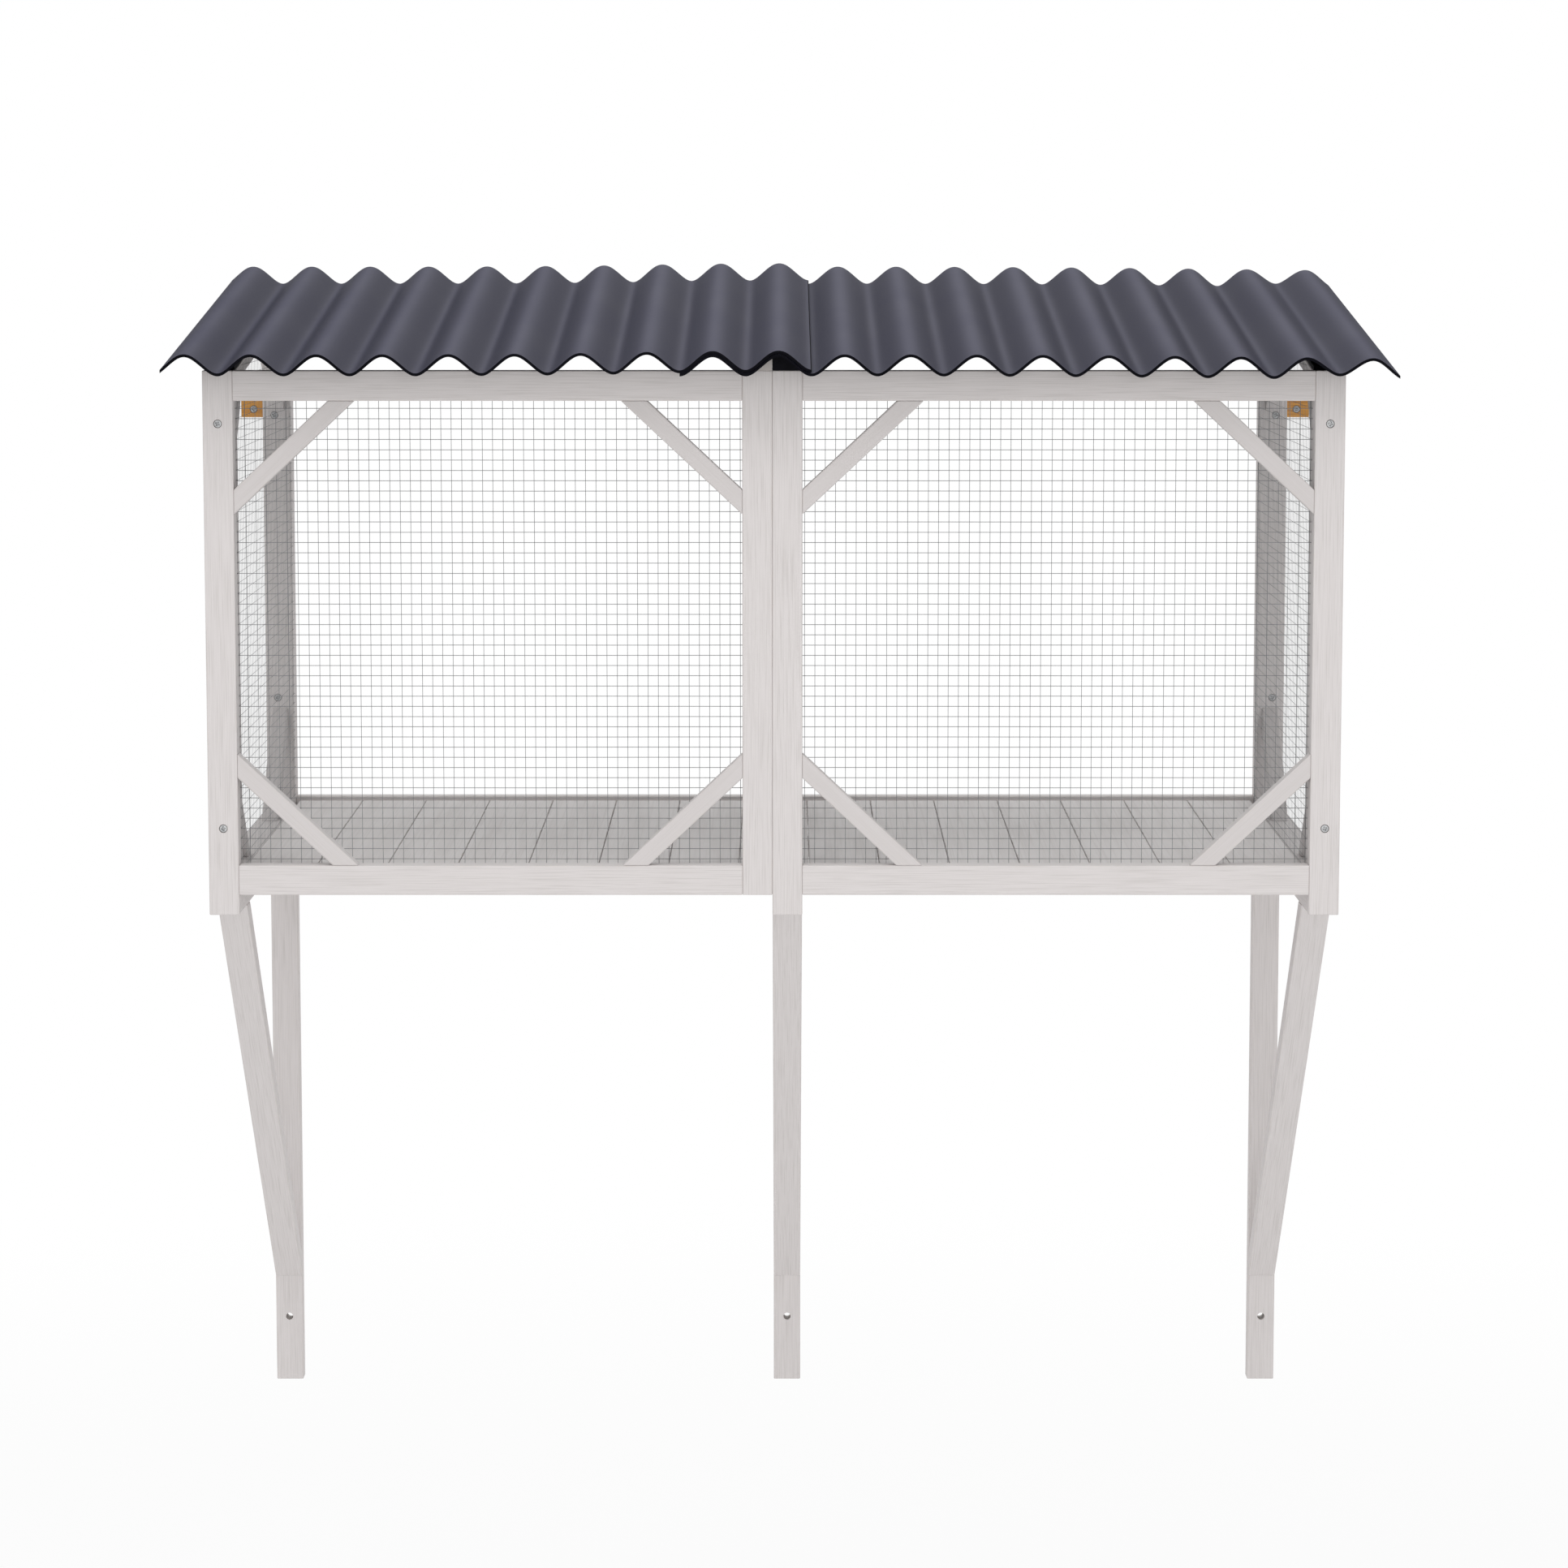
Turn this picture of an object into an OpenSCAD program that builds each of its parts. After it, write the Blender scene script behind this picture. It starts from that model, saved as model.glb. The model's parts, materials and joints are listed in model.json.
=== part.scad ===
// Wall-hung pet enclosure: a mesh-sided timber box on three wall brackets, under a corrugated roof.
// X runs along the wall, the front faces -Y, the wall is the plane Y = 0 and Z points up.
// The origin lies on the wall, in the middle of the four outer wall-bolt holes.

/* [Timber] */
// Width of the frame stock
stock_w = 37; // [30:1:46]
// Thickness of the frame stock
stock_t = 25; // [20:1:30]
// Width of the corner braces, square to their length
brace_w = 22; // [14:1:30]
// Thickness of the corner braces
brace_t = 22; // [14:1:25]

/* [Enclosure] */
// Width over the two front corner posts
body_w = 1400; // [1100:10:1700]
// Depth from the front face to the wall
body_d = 725; // [600:5:850]
// Height of the front frame
frame_h = 648; // [560:1:700]
// Height of the underside of the front frame above the lower ends of the wall posts
frame_z = 788; // [700:1:900]
// Distance of the seam between the two front panels from the centre plane
seam_shift = 2; // [0:0.5:20]
// Reach of a corner brace along the rail
brace_run = 148.5; // [110:0.5:180]
// Reach of a corner brace along the post
brace_rise = 139; // [110:0.5:170]

/* [Wall brackets] */
// Length of the left and middle wall posts
post_h = 1500; // [1490:1:1560]
// Height of the strut foot above the lower end of a wall post
strut_foot_z = 148; // [120:1:300]
// Distance from the front post back to the strut head
strut_setback = 60; // [30:1:150]
// Diameter of the wall-bolt holes
bolt_hole_d = 10; // [6:0.5:14]
// Distance of a wall-bolt hole from the nearer end of its post
bolt_inset = 90; // [50:1:130]

/* [Wall cleats] */
// Width of a wall cleat
cleat_w = 32; // [28:1:60]
// Height of a wall cleat
cleat_h = 37; // [30:1:80]
// Distance of the underside of a wall cleat below the tops of the wall posts
cleat_drop = 151; // [100:1:200]
// Distance of the cleat screw from the wall post
cleat_screw_x = 15; // [10:1:20]
// Height of the cleat screw above the underside of the cleat
cleat_screw_z = 11; // [9:1:20]

/* [Floor] */
// Number of floor boards
board_count = 15; // [10:1:20]
// Thickness of the floor boards
board_t = 9.5; // [6:0.5:11]
// Gap between two floor boards
board_gap = 0.6; // [0.4:0.1:2]
// Gap between the floor and each side panel
floor_margin = 7; // [4:1:20]

/* [Wire mesh] */
// Distance between two wires drawn
wire_pitch = 76.2; // [50:0.1:90]
// Width and thickness of a wire as drawn
wire_w = 2; // [1.5:0.1:3]
// Lap of the mesh on the timber round it
mesh_lap = 15; // [8:1:18]

/* [Roof] */
// Height of the undersides of the roof sheets above the front top edge of the frame
eave_gap = 1.7; // [0.5:0.1:8]
// Distance between two crests of a roof sheet
wave_pitch = 80; // [60:1:100]
// Height of the waves of a roof sheet
wave_h = 23.4; // [15:0.1:30]
// Second harmonic of the wave, which makes the crests full and the troughs tight
wave_second = 0.05; // [0:0.05:1.5]
// Third harmonic of the wave
wave_third = 0.15; // [0:0.05:0.5]
// Thickness of a roof sheet, square to its waves
sheet_t = 3.5; // [2:0.1:4.1]
// Overhang of the roof in front of the front frame
roof_front = 57; // [30:1:100]
// Distance of the rear edge of the roof from the wall
roof_back = 9; // [4:1:20]
// Overhang of the left roof sheet past the left corner post
left_overhang = 44; // [30:1:60]
// Overhang of the right roof sheet past the right corner post
right_overhang = 59; // [30:1:75]
// Place of the last trough of the left sheet, right of the centre plane
left_sheet_end = 45.8; // [40:0.1:60]
// Whole waves in which the two sheets overlap
lap_waves = 2; // [1:1:3]
// Length over which the left sheet climbs onto the right one
climb_run = 476; // [200:1:600]
// Further rise of the left sheet across the lap
lap_rise = 1; // [0:0.1:3]
// Sag of the right sheet at its outer crest
sheet_sag = 4.7; // [0:0.1:8]

/* [Screws] */
// Diameter of a screw head
screw_head_d = 10; // [8:0.5:12]
// Height of a screw head
screw_head_h = 3; // [2:0.1:4]
// Diameter of a screw shank
screw_d = 4.4; // [3:0.1:5]
// Length of the frame screws
screw_l = 42; // [35:1:43]
// Height of the lower front screws above the underside of the frame
low_screw_z = 83; // [60:1:110]
// Distance of the upper front screws below the top of the frame
top_screw_z = 65; // [60:1:80]
// Width of the slots of the cross recess
recess_w = 1.2; // [0.8:0.1:2]
// Span of the cross recess
recess_span = 5; // [4:0.5:6]
// Depth of the cross recess
recess_depth = 1.5; // [0.8:0.1:1.8]
// Distance of the rear screws from the outer face of the rear stile
rear_screw_x = 16; // [12:0.5:20]
// Height of the lower rear screws above the underside of the frame
rear_low_screw_z = 177; // [110:1:260]
// Distance of the upper rear screws below the tops of the wall posts
rear_top_screw_z = 147; // [130:1:200]

/* [Hidden] */

// Gap left between two pieces that seat on each other without touching
seat = 0.3;
// Overshoot of a cut past the face it opens
cut = 1;
// Sides of a drilled hole or a screw
round_sides = 48;
// Steps in which one wave of a roof sheet is drawn
wave_steps = 16;
// Steps in which the top of a block under the roof follows the wave
block_steps = 12;
// Crests of the right sheet that lie level before the sag begins
level_waves = 0.5;

half_w = body_w / 2;
opening_x = half_w - stock_w;
seam_x = -seam_shift;
frame_top = frame_z + frame_h;
bearer_z = frame_z - stock_t;
wall_face = body_d - stock_t;
rear_face = wall_face - stock_t;
cleat_z = post_h - cleat_drop;
side_front = 2 * stock_t;
origin_z = post_h / 2;
upper_bolt_z = post_h - bolt_inset;
post_centre = half_w - stock_w / 2;
floor_z = frame_z + stock_t;
bottom_rail_top = frame_z + stock_w;
top_rail_under = frame_top - stock_w;
mesh_back = stock_t + wire_w;

// The rafters pass over the front frame with eave_gap to spare and rest on the wall posts. They
// clear its front edge, or its rear edge where short posts let the roof fall towards the wall
post_rise = post_h - frame_top - eave_gap;
cleared_y = post_rise < -stock_t ? stock_t : 0;
slope_run = wall_face - cleared_y;
slope_angle = atan2(post_rise, slope_run) + asin(stock_t / norm([post_rise, slope_run]));
slope = tan(slope_angle);
rafter_rise = stock_t / cos(slope_angle);
function rafter_top(y) = frame_top + eave_gap + slope * (y - cleared_y);
function rafter_under(y) = rafter_top(y) - rafter_rise;

// The inner edge of a corner brace lies brace_w inside the line that joins its two reaches
brace_offset = brace_run * brace_rise / sqrt(pow(brace_run, 2) + pow(brace_rise, 2));
brace_inner = 1 - brace_w / brace_offset;

// A roof sheet: three harmonics with their troughs at zero, plus what lifts or lowers the sheet
right_sheet_start = left_sheet_end - lap_waves * wave_pitch;
right_edge = half_w + right_overhang;
sag_start = left_sheet_end + level_waves * wave_pitch;
function unit(t) = max(0, min(1, t));
function wave(x) = let (turn = 360 * (x - left_sheet_end) / wave_pitch)
  (wave_h / 2 - wave_third) * (1 - cos(turn)) + wave_second * (1 - cos(2 * turn))
  + wave_third * (1 - cos(3 * turn));
function lift(x) = (sheet_t + seat) * pow(unit((x - right_sheet_start) / climb_run + 1), 3)
  + lap_rise * unit((x - right_sheet_start) / (left_sheet_end - right_sheet_start));

// The right sheet sags more and more, and its trough over the right rail comes back up to rest there
outer_trough = left_sheet_end + wave_pitch * round((post_centre - left_sheet_end) / wave_pitch);
function droop(x) = pow(unit((x - sag_start) / (right_edge - wave_pitch / 2 - sag_start)), 2);
function rest(x) = (1 + cos(180 * min(1, 2 * abs(x - outer_trough) / wave_pitch))) / 2;
function sag(x) = sheet_sag * (droop(x) - droop(outer_trough) * rest(x));
// How far the right side of the frame gives way; the sag may use up half the seat before it does
right_drop = max(0, max([for (x = [opening_x : half_w]) sag(x) - wave(x)]) - seat / 2);

// Puts what is measured from the front face and the post ends into the part's own frame
module placed() translate([0, -body_d, -origin_z]) children();

module painted_wood() color("#d3cfcd") children();
module raw_wood() color("#c88c40") children();
module steel() color("#9a9a9c") children();

// A prism whose outline lies in the X-Z plane, from y towards the wall
module xz_prism(y, depth, points)
  translate([0, y + depth, 0]) rotate([90, 0, 0]) linear_extrude(depth) polygon(points);

// A prism whose outline lies in the Y-Z plane, from x to the right
module yz_prism(x, width, points)
  translate([x, 0, 0]) rotate([90, 0, 90]) linear_extrude(width) polygon(points);

// A screw that points at the wall, with a cross recess in its head
module screw(length) rotate([-90, 0, 0]) {
  difference() {
    cylinder(d = screw_head_d, h = screw_head_h, $fn = round_sides);
    for (turn = [0, 90]) rotate(turn)
      translate([-recess_span / 2, -recess_w / 2, -cut]) cube([recess_span, recess_w, cut + recess_depth]);
  }
  translate([0, 0, screw_head_h]) cylinder(d = screw_d, h = length - screw_head_h, $fn = round_sides);
}

// The hole for such a screw; with a head it opens towards the front
module screw_hole(length, with_head = true) rotate([-90, 0, 0]) {
  if (with_head)
    translate([0, 0, -cut])
      cylinder(d = screw_head_d + 2 * seat, h = screw_head_h + seat + cut, $fn = round_sides);
  translate([0, 0, -cut]) cylinder(d = screw_d + 2 * seat, h = length + seat + cut, $fn = round_sides);
}

front_screw_heights = [frame_z + low_screw_z, frame_top - top_screw_z];
rear_screw_heights = [frame_z + rear_low_screw_z, post_h - rear_top_screw_z];

// Front frame: side is -1 for the left corner post and 1 for the right one
module front_post(side) painted_wood() placed() difference() {
  translate([side * post_centre - stock_w / 2, 0, bearer_z]) cube([stock_w, stock_t, frame_top - bearer_z]);
  for (z = front_screw_heights) translate([side * post_centre, 0, z]) screw_hole(stock_t + cut);
}

module centre_stile(x, z) painted_wood() placed()
  translate([x, 0, z]) cube([stock_w, stock_t, frame_top - z]);

module front_rail(x, z, x_end) painted_wood() placed()
  translate([x, 0, z]) cube([x_end - x, stock_t, stock_w]);

// A corner brace in the front frame, from its corner towards sx and sz
module front_brace(x, z, sx, sz) painted_wood() placed()
  xz_prism(0, brace_t, [for (p = brace_outline()) [x + sx * p[0], z + sz * p[1]]]);

function brace_outline() =
  [[brace_run, 0], [brace_run * brace_inner, 0], [0, brace_rise * brace_inner], [0, brace_rise]];

// The gaps between the wires of a net; the outermost wires run along its edges
module net_gaps(x, z, width, height) {
  columns = round(width / wire_pitch);
  rows = round(height / wire_pitch);
  step_x = (width - wire_w) / columns;
  step_z = (height - wire_w) / rows;
  for (i = [0 : columns - 1], j = [0 : rows - 1])
    translate([x + wire_w + i * step_x, z + wire_w + j * step_z])
      square([step_x - wire_w, step_z - wire_w]);
}

module front_mesh(x, x_end) steel() placed() {
  z = bottom_rail_top - mesh_lap;
  height = top_rail_under + mesh_lap - z;
  translate([0, mesh_back, 0]) rotate([90, 0, 0]) linear_extrude(wire_w) difference() {
    translate([x, z]) square([x_end - x, height]);
    net_gaps(x, z, x_end - x, height);
  }
}

// Side panels: side is -1 for the left panel and 1 for the right one
function drop(side) = side > 0 ? right_drop : 0;
function side_x(side) = side > 0 ? opening_x : -half_w;
function under(side, y) = rafter_under(y) - drop(side);

module side_front_stile(side) painted_wood() placed() difference() {
  yz_prism(side_x(side), stock_w,
    [[stock_t, frame_z], [side_front, frame_z], [side_front, under(side, side_front)],
     [stock_t, under(side, stock_t)]]);
  for (z = front_screw_heights) translate([side * post_centre, stock_t, z])
    screw_hole(screw_l - stock_t, false);
}

module side_rear_stile(side) painted_wood() placed() difference() {
  yz_prism(side_x(side), stock_w,
    [[rear_face, frame_z], [wall_face, frame_z], [wall_face, under(side, wall_face)],
     [rear_face, under(side, rear_face)]]);
  for (z = rear_screw_heights) translate([side * (half_w - rear_screw_x), rear_face, z])
    screw_hole(stock_t + cut);
  bolt_hole(side * post_centre, upper_bolt_z, rear_face);
}

module side_top_rail(side) painted_wood() placed() yz_prism(side_x(side), stock_w,
  [[stock_t, under(side, stock_t)], [body_d, under(side, body_d)],
   [body_d, under(side, body_d) + rafter_rise], [stock_t, under(side, stock_t) + rafter_rise]]);

module side_bottom_rail(side) painted_wood() placed()
  translate([side_x(side), side_front, frame_z]) cube([stock_w, rear_face - side_front, stock_t]);

module side_braces(side) painted_wood() placed() {
  x = side_x(side) + (stock_w - brace_t) / 2;
  for (corner = [[side_front, 1], [rear_face, -1]]) {
    y = corner[0];
    sy = corner[1];
    yz_prism(x, brace_t, [for (p = brace_outline()) [y + sy * p[0], floor_z + p[1]]]);
    yz_prism(x, brace_t, [for (p = brace_outline())
      [y + sy * p[0], under(side, y + sy * p[0]) - p[1]]]);
  }
}

module side_mesh(side) steel() placed() {
  y = mesh_back + seat;
  y_end = rear_face + mesh_lap;
  z = floor_z - mesh_lap;
  top = under(side, y_end) + mesh_lap;
  top_front = under(side, y) + mesh_lap;
  x = side > 0 ? opening_x - wire_w : -opening_x;
  translate([x, 0, 0]) rotate([90, 0, 90]) linear_extrude(wire_w) difference() {
    polygon([[y, z], [y_end, z], [y_end, top], [y, top_front]]);
    intersection() {
      net_gaps(y, z, y_end - y, top - z);
      polygon([[y, z], [y_end, z], [y_end, top - wire_w], [y, top_front - wire_w]]);
    }
  }
}

// Wall brackets: a post on the wall, a bearer under the box and a strut between them
module bolt_hole(x, z, y) translate([x, y - cut, z]) rotate([-90, 0, 0])
  cylinder(d = bolt_hole_d, h = stock_t + 2 * cut, $fn = round_sides);

module wall_post(x, height, screw_x = undef) painted_wood() placed() difference() {
  translate([x, wall_face, 0]) cube([stock_w, stock_t, height]);
  for (z = [bolt_inset, upper_bolt_z]) bolt_hole(x + stock_w / 2, z, wall_face);
  if (!is_undef(screw_x)) for (z = rear_screw_heights) translate([screw_x, wall_face, z])
    screw_hole(screw_l - stock_t, false);
}

module bearer(x) painted_wood() placed()
  translate([x, stock_t, bearer_z]) cube([stock_w, wall_face - stock_t, stock_t]);

module strut(x) painted_wood() placed() {
  head_y = stock_t + strut_setback;
  angle = atan((bearer_z - strut_foot_z) / (wall_face - head_y));
  yz_prism(x, stock_w, [
    [head_y, bearer_z], [wall_face, strut_foot_z],
    [wall_face, strut_foot_z + stock_t / cos(angle)], [head_y + stock_t / sin(angle), bearer_z]]);
}

// Roof supports along the seam
module centre_rafter() painted_wood() placed() yz_prism(seam_x, stock_w,
  [[stock_t, rafter_under(stock_t)], [body_d, rafter_under(body_d)],
   [body_d, rafter_top(body_d)], [stock_t, rafter_top(stock_t)]]);

// A block on the front frame whose top follows the wave above it
module eave_block(x) placed() {
  base = rafter_top(cleared_y);
  xz_prism(0, stock_t, concat(
    [[x + stock_w, frame_top], [x, frame_top]],
    [for (i = [0 : block_steps]) let (at = x + stock_w * i / block_steps) [at, base + wave(at)]]));
}
module eave_filler_block() painted_wood() eave_block(seam_x - stock_w);
module eave_closure() color("#17171b") eave_block(seam_x);

// Rails between the wall posts
module back_rail(x, x_end, z) painted_wood() placed()
  translate([x, wall_face, z]) cube([x_end - x, stock_t, stock_w]);

// Floor
floor_w = 2 * (opening_x - floor_margin);
ledger_w = 2 * (opening_x - wire_w - seat);
floor_front = mesh_back + seat;

module floor_boards() painted_wood() placed() {
  pitch = floor_w / board_count;
  for (i = [0 : board_count - 1])
    translate([-floor_w / 2 + i * pitch + board_gap / 2, floor_front, floor_z])
      cube([pitch - board_gap, rear_face - floor_front, board_t]);
}

module floor_ledger(y) painted_wood() placed()
  translate([-ledger_w / 2, y, frame_z]) cube([ledger_w, stock_t, stock_t]);

// Roof sheets, drawn flat and then laid on the rafters
function sheet_line(start, end) =
  let (count = ceil((end - start) * wave_steps / wave_pitch))
  [for (i = [0 : count]) start + (end - start) * i / count];

module laid_sheet(outline) placed()
  translate([0, -roof_front, rafter_top(-roof_front)])
    rotate([slope_angle, 0, 0]) translate([0, 0, seat])
      rotate([90, 0, 0]) translate([0, 0, -(body_d - roof_back + roof_front) / cos(slope_angle)])
        linear_extrude((body_d - roof_back + roof_front) / cos(slope_angle)) polygon(outline);

// The top lies sheet_t above the underside, square to the wave; where another sheet covers it, plumb
function sheet_grade(xs, heights, i) = let (a = max(0, i - 1), b = min(len(xs) - 1, i + 1))
  (heights[b] - heights[a]) / (xs[b] - xs[a]);
function sheet_outline(xs, heights, covered_to) = concat(
  [for (i = [0 : len(xs) - 1]) [xs[i], heights[i]
    + sheet_t * (xs[i] < covered_to ? 1 : norm([1, sheet_grade(xs, heights, i)]))]],
  [for (i = [len(xs) - 1 : -1 : 0]) [xs[i], heights[i]]]);

module roof_sheet_left() color("#52525e") {
  xs = sheet_line(-half_w - left_overhang, left_sheet_end);
  laid_sheet(sheet_outline(xs, [for (x = xs) wave(x) + lift(x)], xs[0]));
}

module roof_sheet_right() color("#4b4b57") {
  xs = sheet_line(right_sheet_start, right_edge);
  laid_sheet(sheet_outline(xs, [for (x = xs) wave(x) - sag(x)], left_sheet_end));
}

// Natural wood cleats beside the wall posts
module wall_cleat(side) raw_wood() placed() difference() {
  translate([side > 0 ? half_w : -half_w - cleat_w, wall_face, cleat_z]) cube([cleat_w, stock_t, cleat_h]);
  translate([side * (half_w + cleat_screw_x), wall_face, cleat_z + cleat_screw_z])
    screw_hole(stock_t + cut);
}

// Screws
module front_screws() color("silver") placed()
  for (side = [-1, 1], z = front_screw_heights) translate([side * post_centre, 0, z]) screw(screw_l);

module rear_screws() color("silver") placed()
  for (side = [-1, 1], z = rear_screw_heights)
    translate([side * (half_w - rear_screw_x), rear_face, z]) screw(screw_l);

module cleat_screws() color("silver") placed()
  for (side = [-1, 1])
    translate([side * (half_w + cleat_screw_x), wall_face, cleat_z + cleat_screw_z]) screw(stock_t - seat);

front_post(-1);  // front_left_post
front_post(1);  // front_right_post
centre_stile(seam_x - stock_w, frame_z);  // front_centre_left_stile
centre_stile(seam_x, bearer_z);  // front_centre_right_stile
front_rail(-opening_x, top_rail_under, seam_x - stock_w);  // front_left_top_rail
front_rail(seam_x + stock_w, top_rail_under, opening_x);  // front_right_top_rail
front_rail(-opening_x, frame_z, seam_x - stock_w);  // front_left_bottom_rail
front_rail(seam_x + stock_w, frame_z, opening_x);  // front_right_bottom_rail
front_brace(-opening_x, top_rail_under, 1, -1);  // left_panel_brace_top_left
front_brace(seam_x - stock_w, top_rail_under, -1, -1);  // left_panel_brace_top_right
front_brace(-opening_x, bottom_rail_top, 1, 1);  // left_panel_brace_bottom_left
front_brace(seam_x - stock_w, bottom_rail_top, -1, 1);  // left_panel_brace_bottom_right
front_brace(seam_x + stock_w, top_rail_under, 1, -1);  // right_panel_brace_top_left
front_brace(opening_x, top_rail_under, -1, -1);  // right_panel_brace_top_right
front_brace(seam_x + stock_w, bottom_rail_top, 1, 1);  // right_panel_brace_bottom_left
front_brace(opening_x, bottom_rail_top, -1, 1);  // right_panel_brace_bottom_right
front_mesh(-opening_x + seat, seam_x - stock_w / 2);  // front_left_mesh
front_mesh(seam_x + stock_w / 2, opening_x - seat);  // front_right_mesh
side_front_stile(-1);  // left_side_front_stile
side_rear_stile(-1);  // left_side_rear_stile
side_top_rail(-1);  // left_side_top_rail
side_bottom_rail(-1);  // left_side_bottom_rail
side_braces(-1);  // left_side_braces
side_mesh(-1);  // left_side_mesh
side_front_stile(1);  // right_side_front_stile
side_rear_stile(1);  // right_side_rear_stile
side_top_rail(1);  // right_side_top_rail
side_bottom_rail(1);  // right_side_bottom_rail
side_braces(1);  // right_side_braces
side_mesh(1);  // right_side_mesh
wall_post(-half_w, post_h, -half_w + rear_screw_x);  // left_wall_post
wall_post(seam_x, post_h);  // middle_wall_post
wall_post(opening_x, post_h - right_drop, half_w - rear_screw_x);  // right_wall_post
bearer(-half_w);  // left_bearer
bearer(seam_x);  // middle_bearer
bearer(opening_x);  // right_bearer
strut(-half_w);  // left_strut
strut(seam_x);  // middle_strut
strut(opening_x);  // right_strut
centre_rafter();
eave_filler_block();
eave_closure();
back_rail(-opening_x, seam_x, frame_z);  // back_sill_left
back_rail(seam_x + stock_w, opening_x, frame_z);  // back_sill_right
back_rail(-opening_x, seam_x, post_h - right_drop - stock_w);  // back_top_rail_left
back_rail(seam_x + stock_w, opening_x, post_h - right_drop - stock_w);  // back_top_rail_right
floor_boards();
floor_ledger(floor_front);  // floor_ledger_front
floor_ledger((body_d - stock_t) / 2);  // floor_ledger_middle
floor_ledger(rear_face);  // floor_ledger_back
roof_sheet_left();
roof_sheet_right();
wall_cleat(-1);  // left_wall_cleat
wall_cleat(1);  // right_wall_cleat
front_screws();
rear_screws();
cleat_screws();
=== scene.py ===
"""Wall-hung pet enclosure: its fine shapes and finishes, the studio and the camera.

Everything is in metres in the enclosure's own frame: X runs along the wall to the right, Y points
into the wall, Z points up, and the origin lies on the wall between the outer wall bolts. Each piece
takes its place and size from the box of the solid that it replaces.
"""

import json
import logging
import math
from collections.abc import Iterable, Sequence
from dataclasses import dataclass
from enum import Enum

import bpy
import numpy as np
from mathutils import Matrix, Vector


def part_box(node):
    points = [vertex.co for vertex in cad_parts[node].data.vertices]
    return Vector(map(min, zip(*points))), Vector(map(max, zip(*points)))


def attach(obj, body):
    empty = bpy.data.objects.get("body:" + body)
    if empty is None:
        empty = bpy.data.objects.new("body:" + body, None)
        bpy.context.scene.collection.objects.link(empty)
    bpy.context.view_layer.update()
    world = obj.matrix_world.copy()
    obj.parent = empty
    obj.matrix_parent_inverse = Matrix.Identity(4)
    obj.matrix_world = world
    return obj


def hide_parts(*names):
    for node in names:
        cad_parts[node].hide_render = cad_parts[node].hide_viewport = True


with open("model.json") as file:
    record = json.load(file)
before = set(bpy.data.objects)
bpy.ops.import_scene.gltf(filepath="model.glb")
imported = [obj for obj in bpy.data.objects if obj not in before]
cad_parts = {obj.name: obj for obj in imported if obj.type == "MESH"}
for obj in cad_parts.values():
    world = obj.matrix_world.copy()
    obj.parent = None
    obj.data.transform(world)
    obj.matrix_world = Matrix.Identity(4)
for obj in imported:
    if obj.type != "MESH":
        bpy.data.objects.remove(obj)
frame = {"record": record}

log = logging.getLogger("pet_enclosure")

GRAIN_UV = "grain"
ARRIS = "arris"
END_GRAIN = "end_grain"
BODY = "root"
MM = 0.001
AXES = np.eye(3)

Pair = tuple[float, float]
Triple = tuple[float, float, float]
Box = tuple[np.ndarray, np.ndarray]


class Place(Enum):
    """Where a part stands, as seen from the front."""

    LEFT = "left"
    MIDDLE = "middle"
    RIGHT = "right"


SIDES = (Place.LEFT, Place.RIGHT)


class Along(Enum):
    """The axis that a timber or a wire runs along, or that a face is square to."""

    X = 0
    Y = 1
    Z = 2


class Coat(Enum):
    """The material slots of the record, by finish."""

    WASHED = "washed_wood"
    FLOOR = "washed_floor"
    NATURAL = "natural_wood"
    WIRE = "galvanised_wire"
    ROOF = "roof_sheet"
    # The black foam slot below is painted shade: black pieces where the roof sheets shade the rafters and the
    # eave.
    FOAM = "closure_foam"
    ZINC = "zinc_screw"


# Meshes


def link_object(name: str, data: bpy.types.ID) -> bpy.types.Object:
    """Makes an object of some data and links it to the scene.

    Args:
        name: The object's name.
        data: Its mesh, lamp or camera.

    Returns:
        The object.
    """
    thing = bpy.data.objects.new(name, data)
    bpy.context.scene.collection.objects.link(thing)
    return thing


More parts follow.
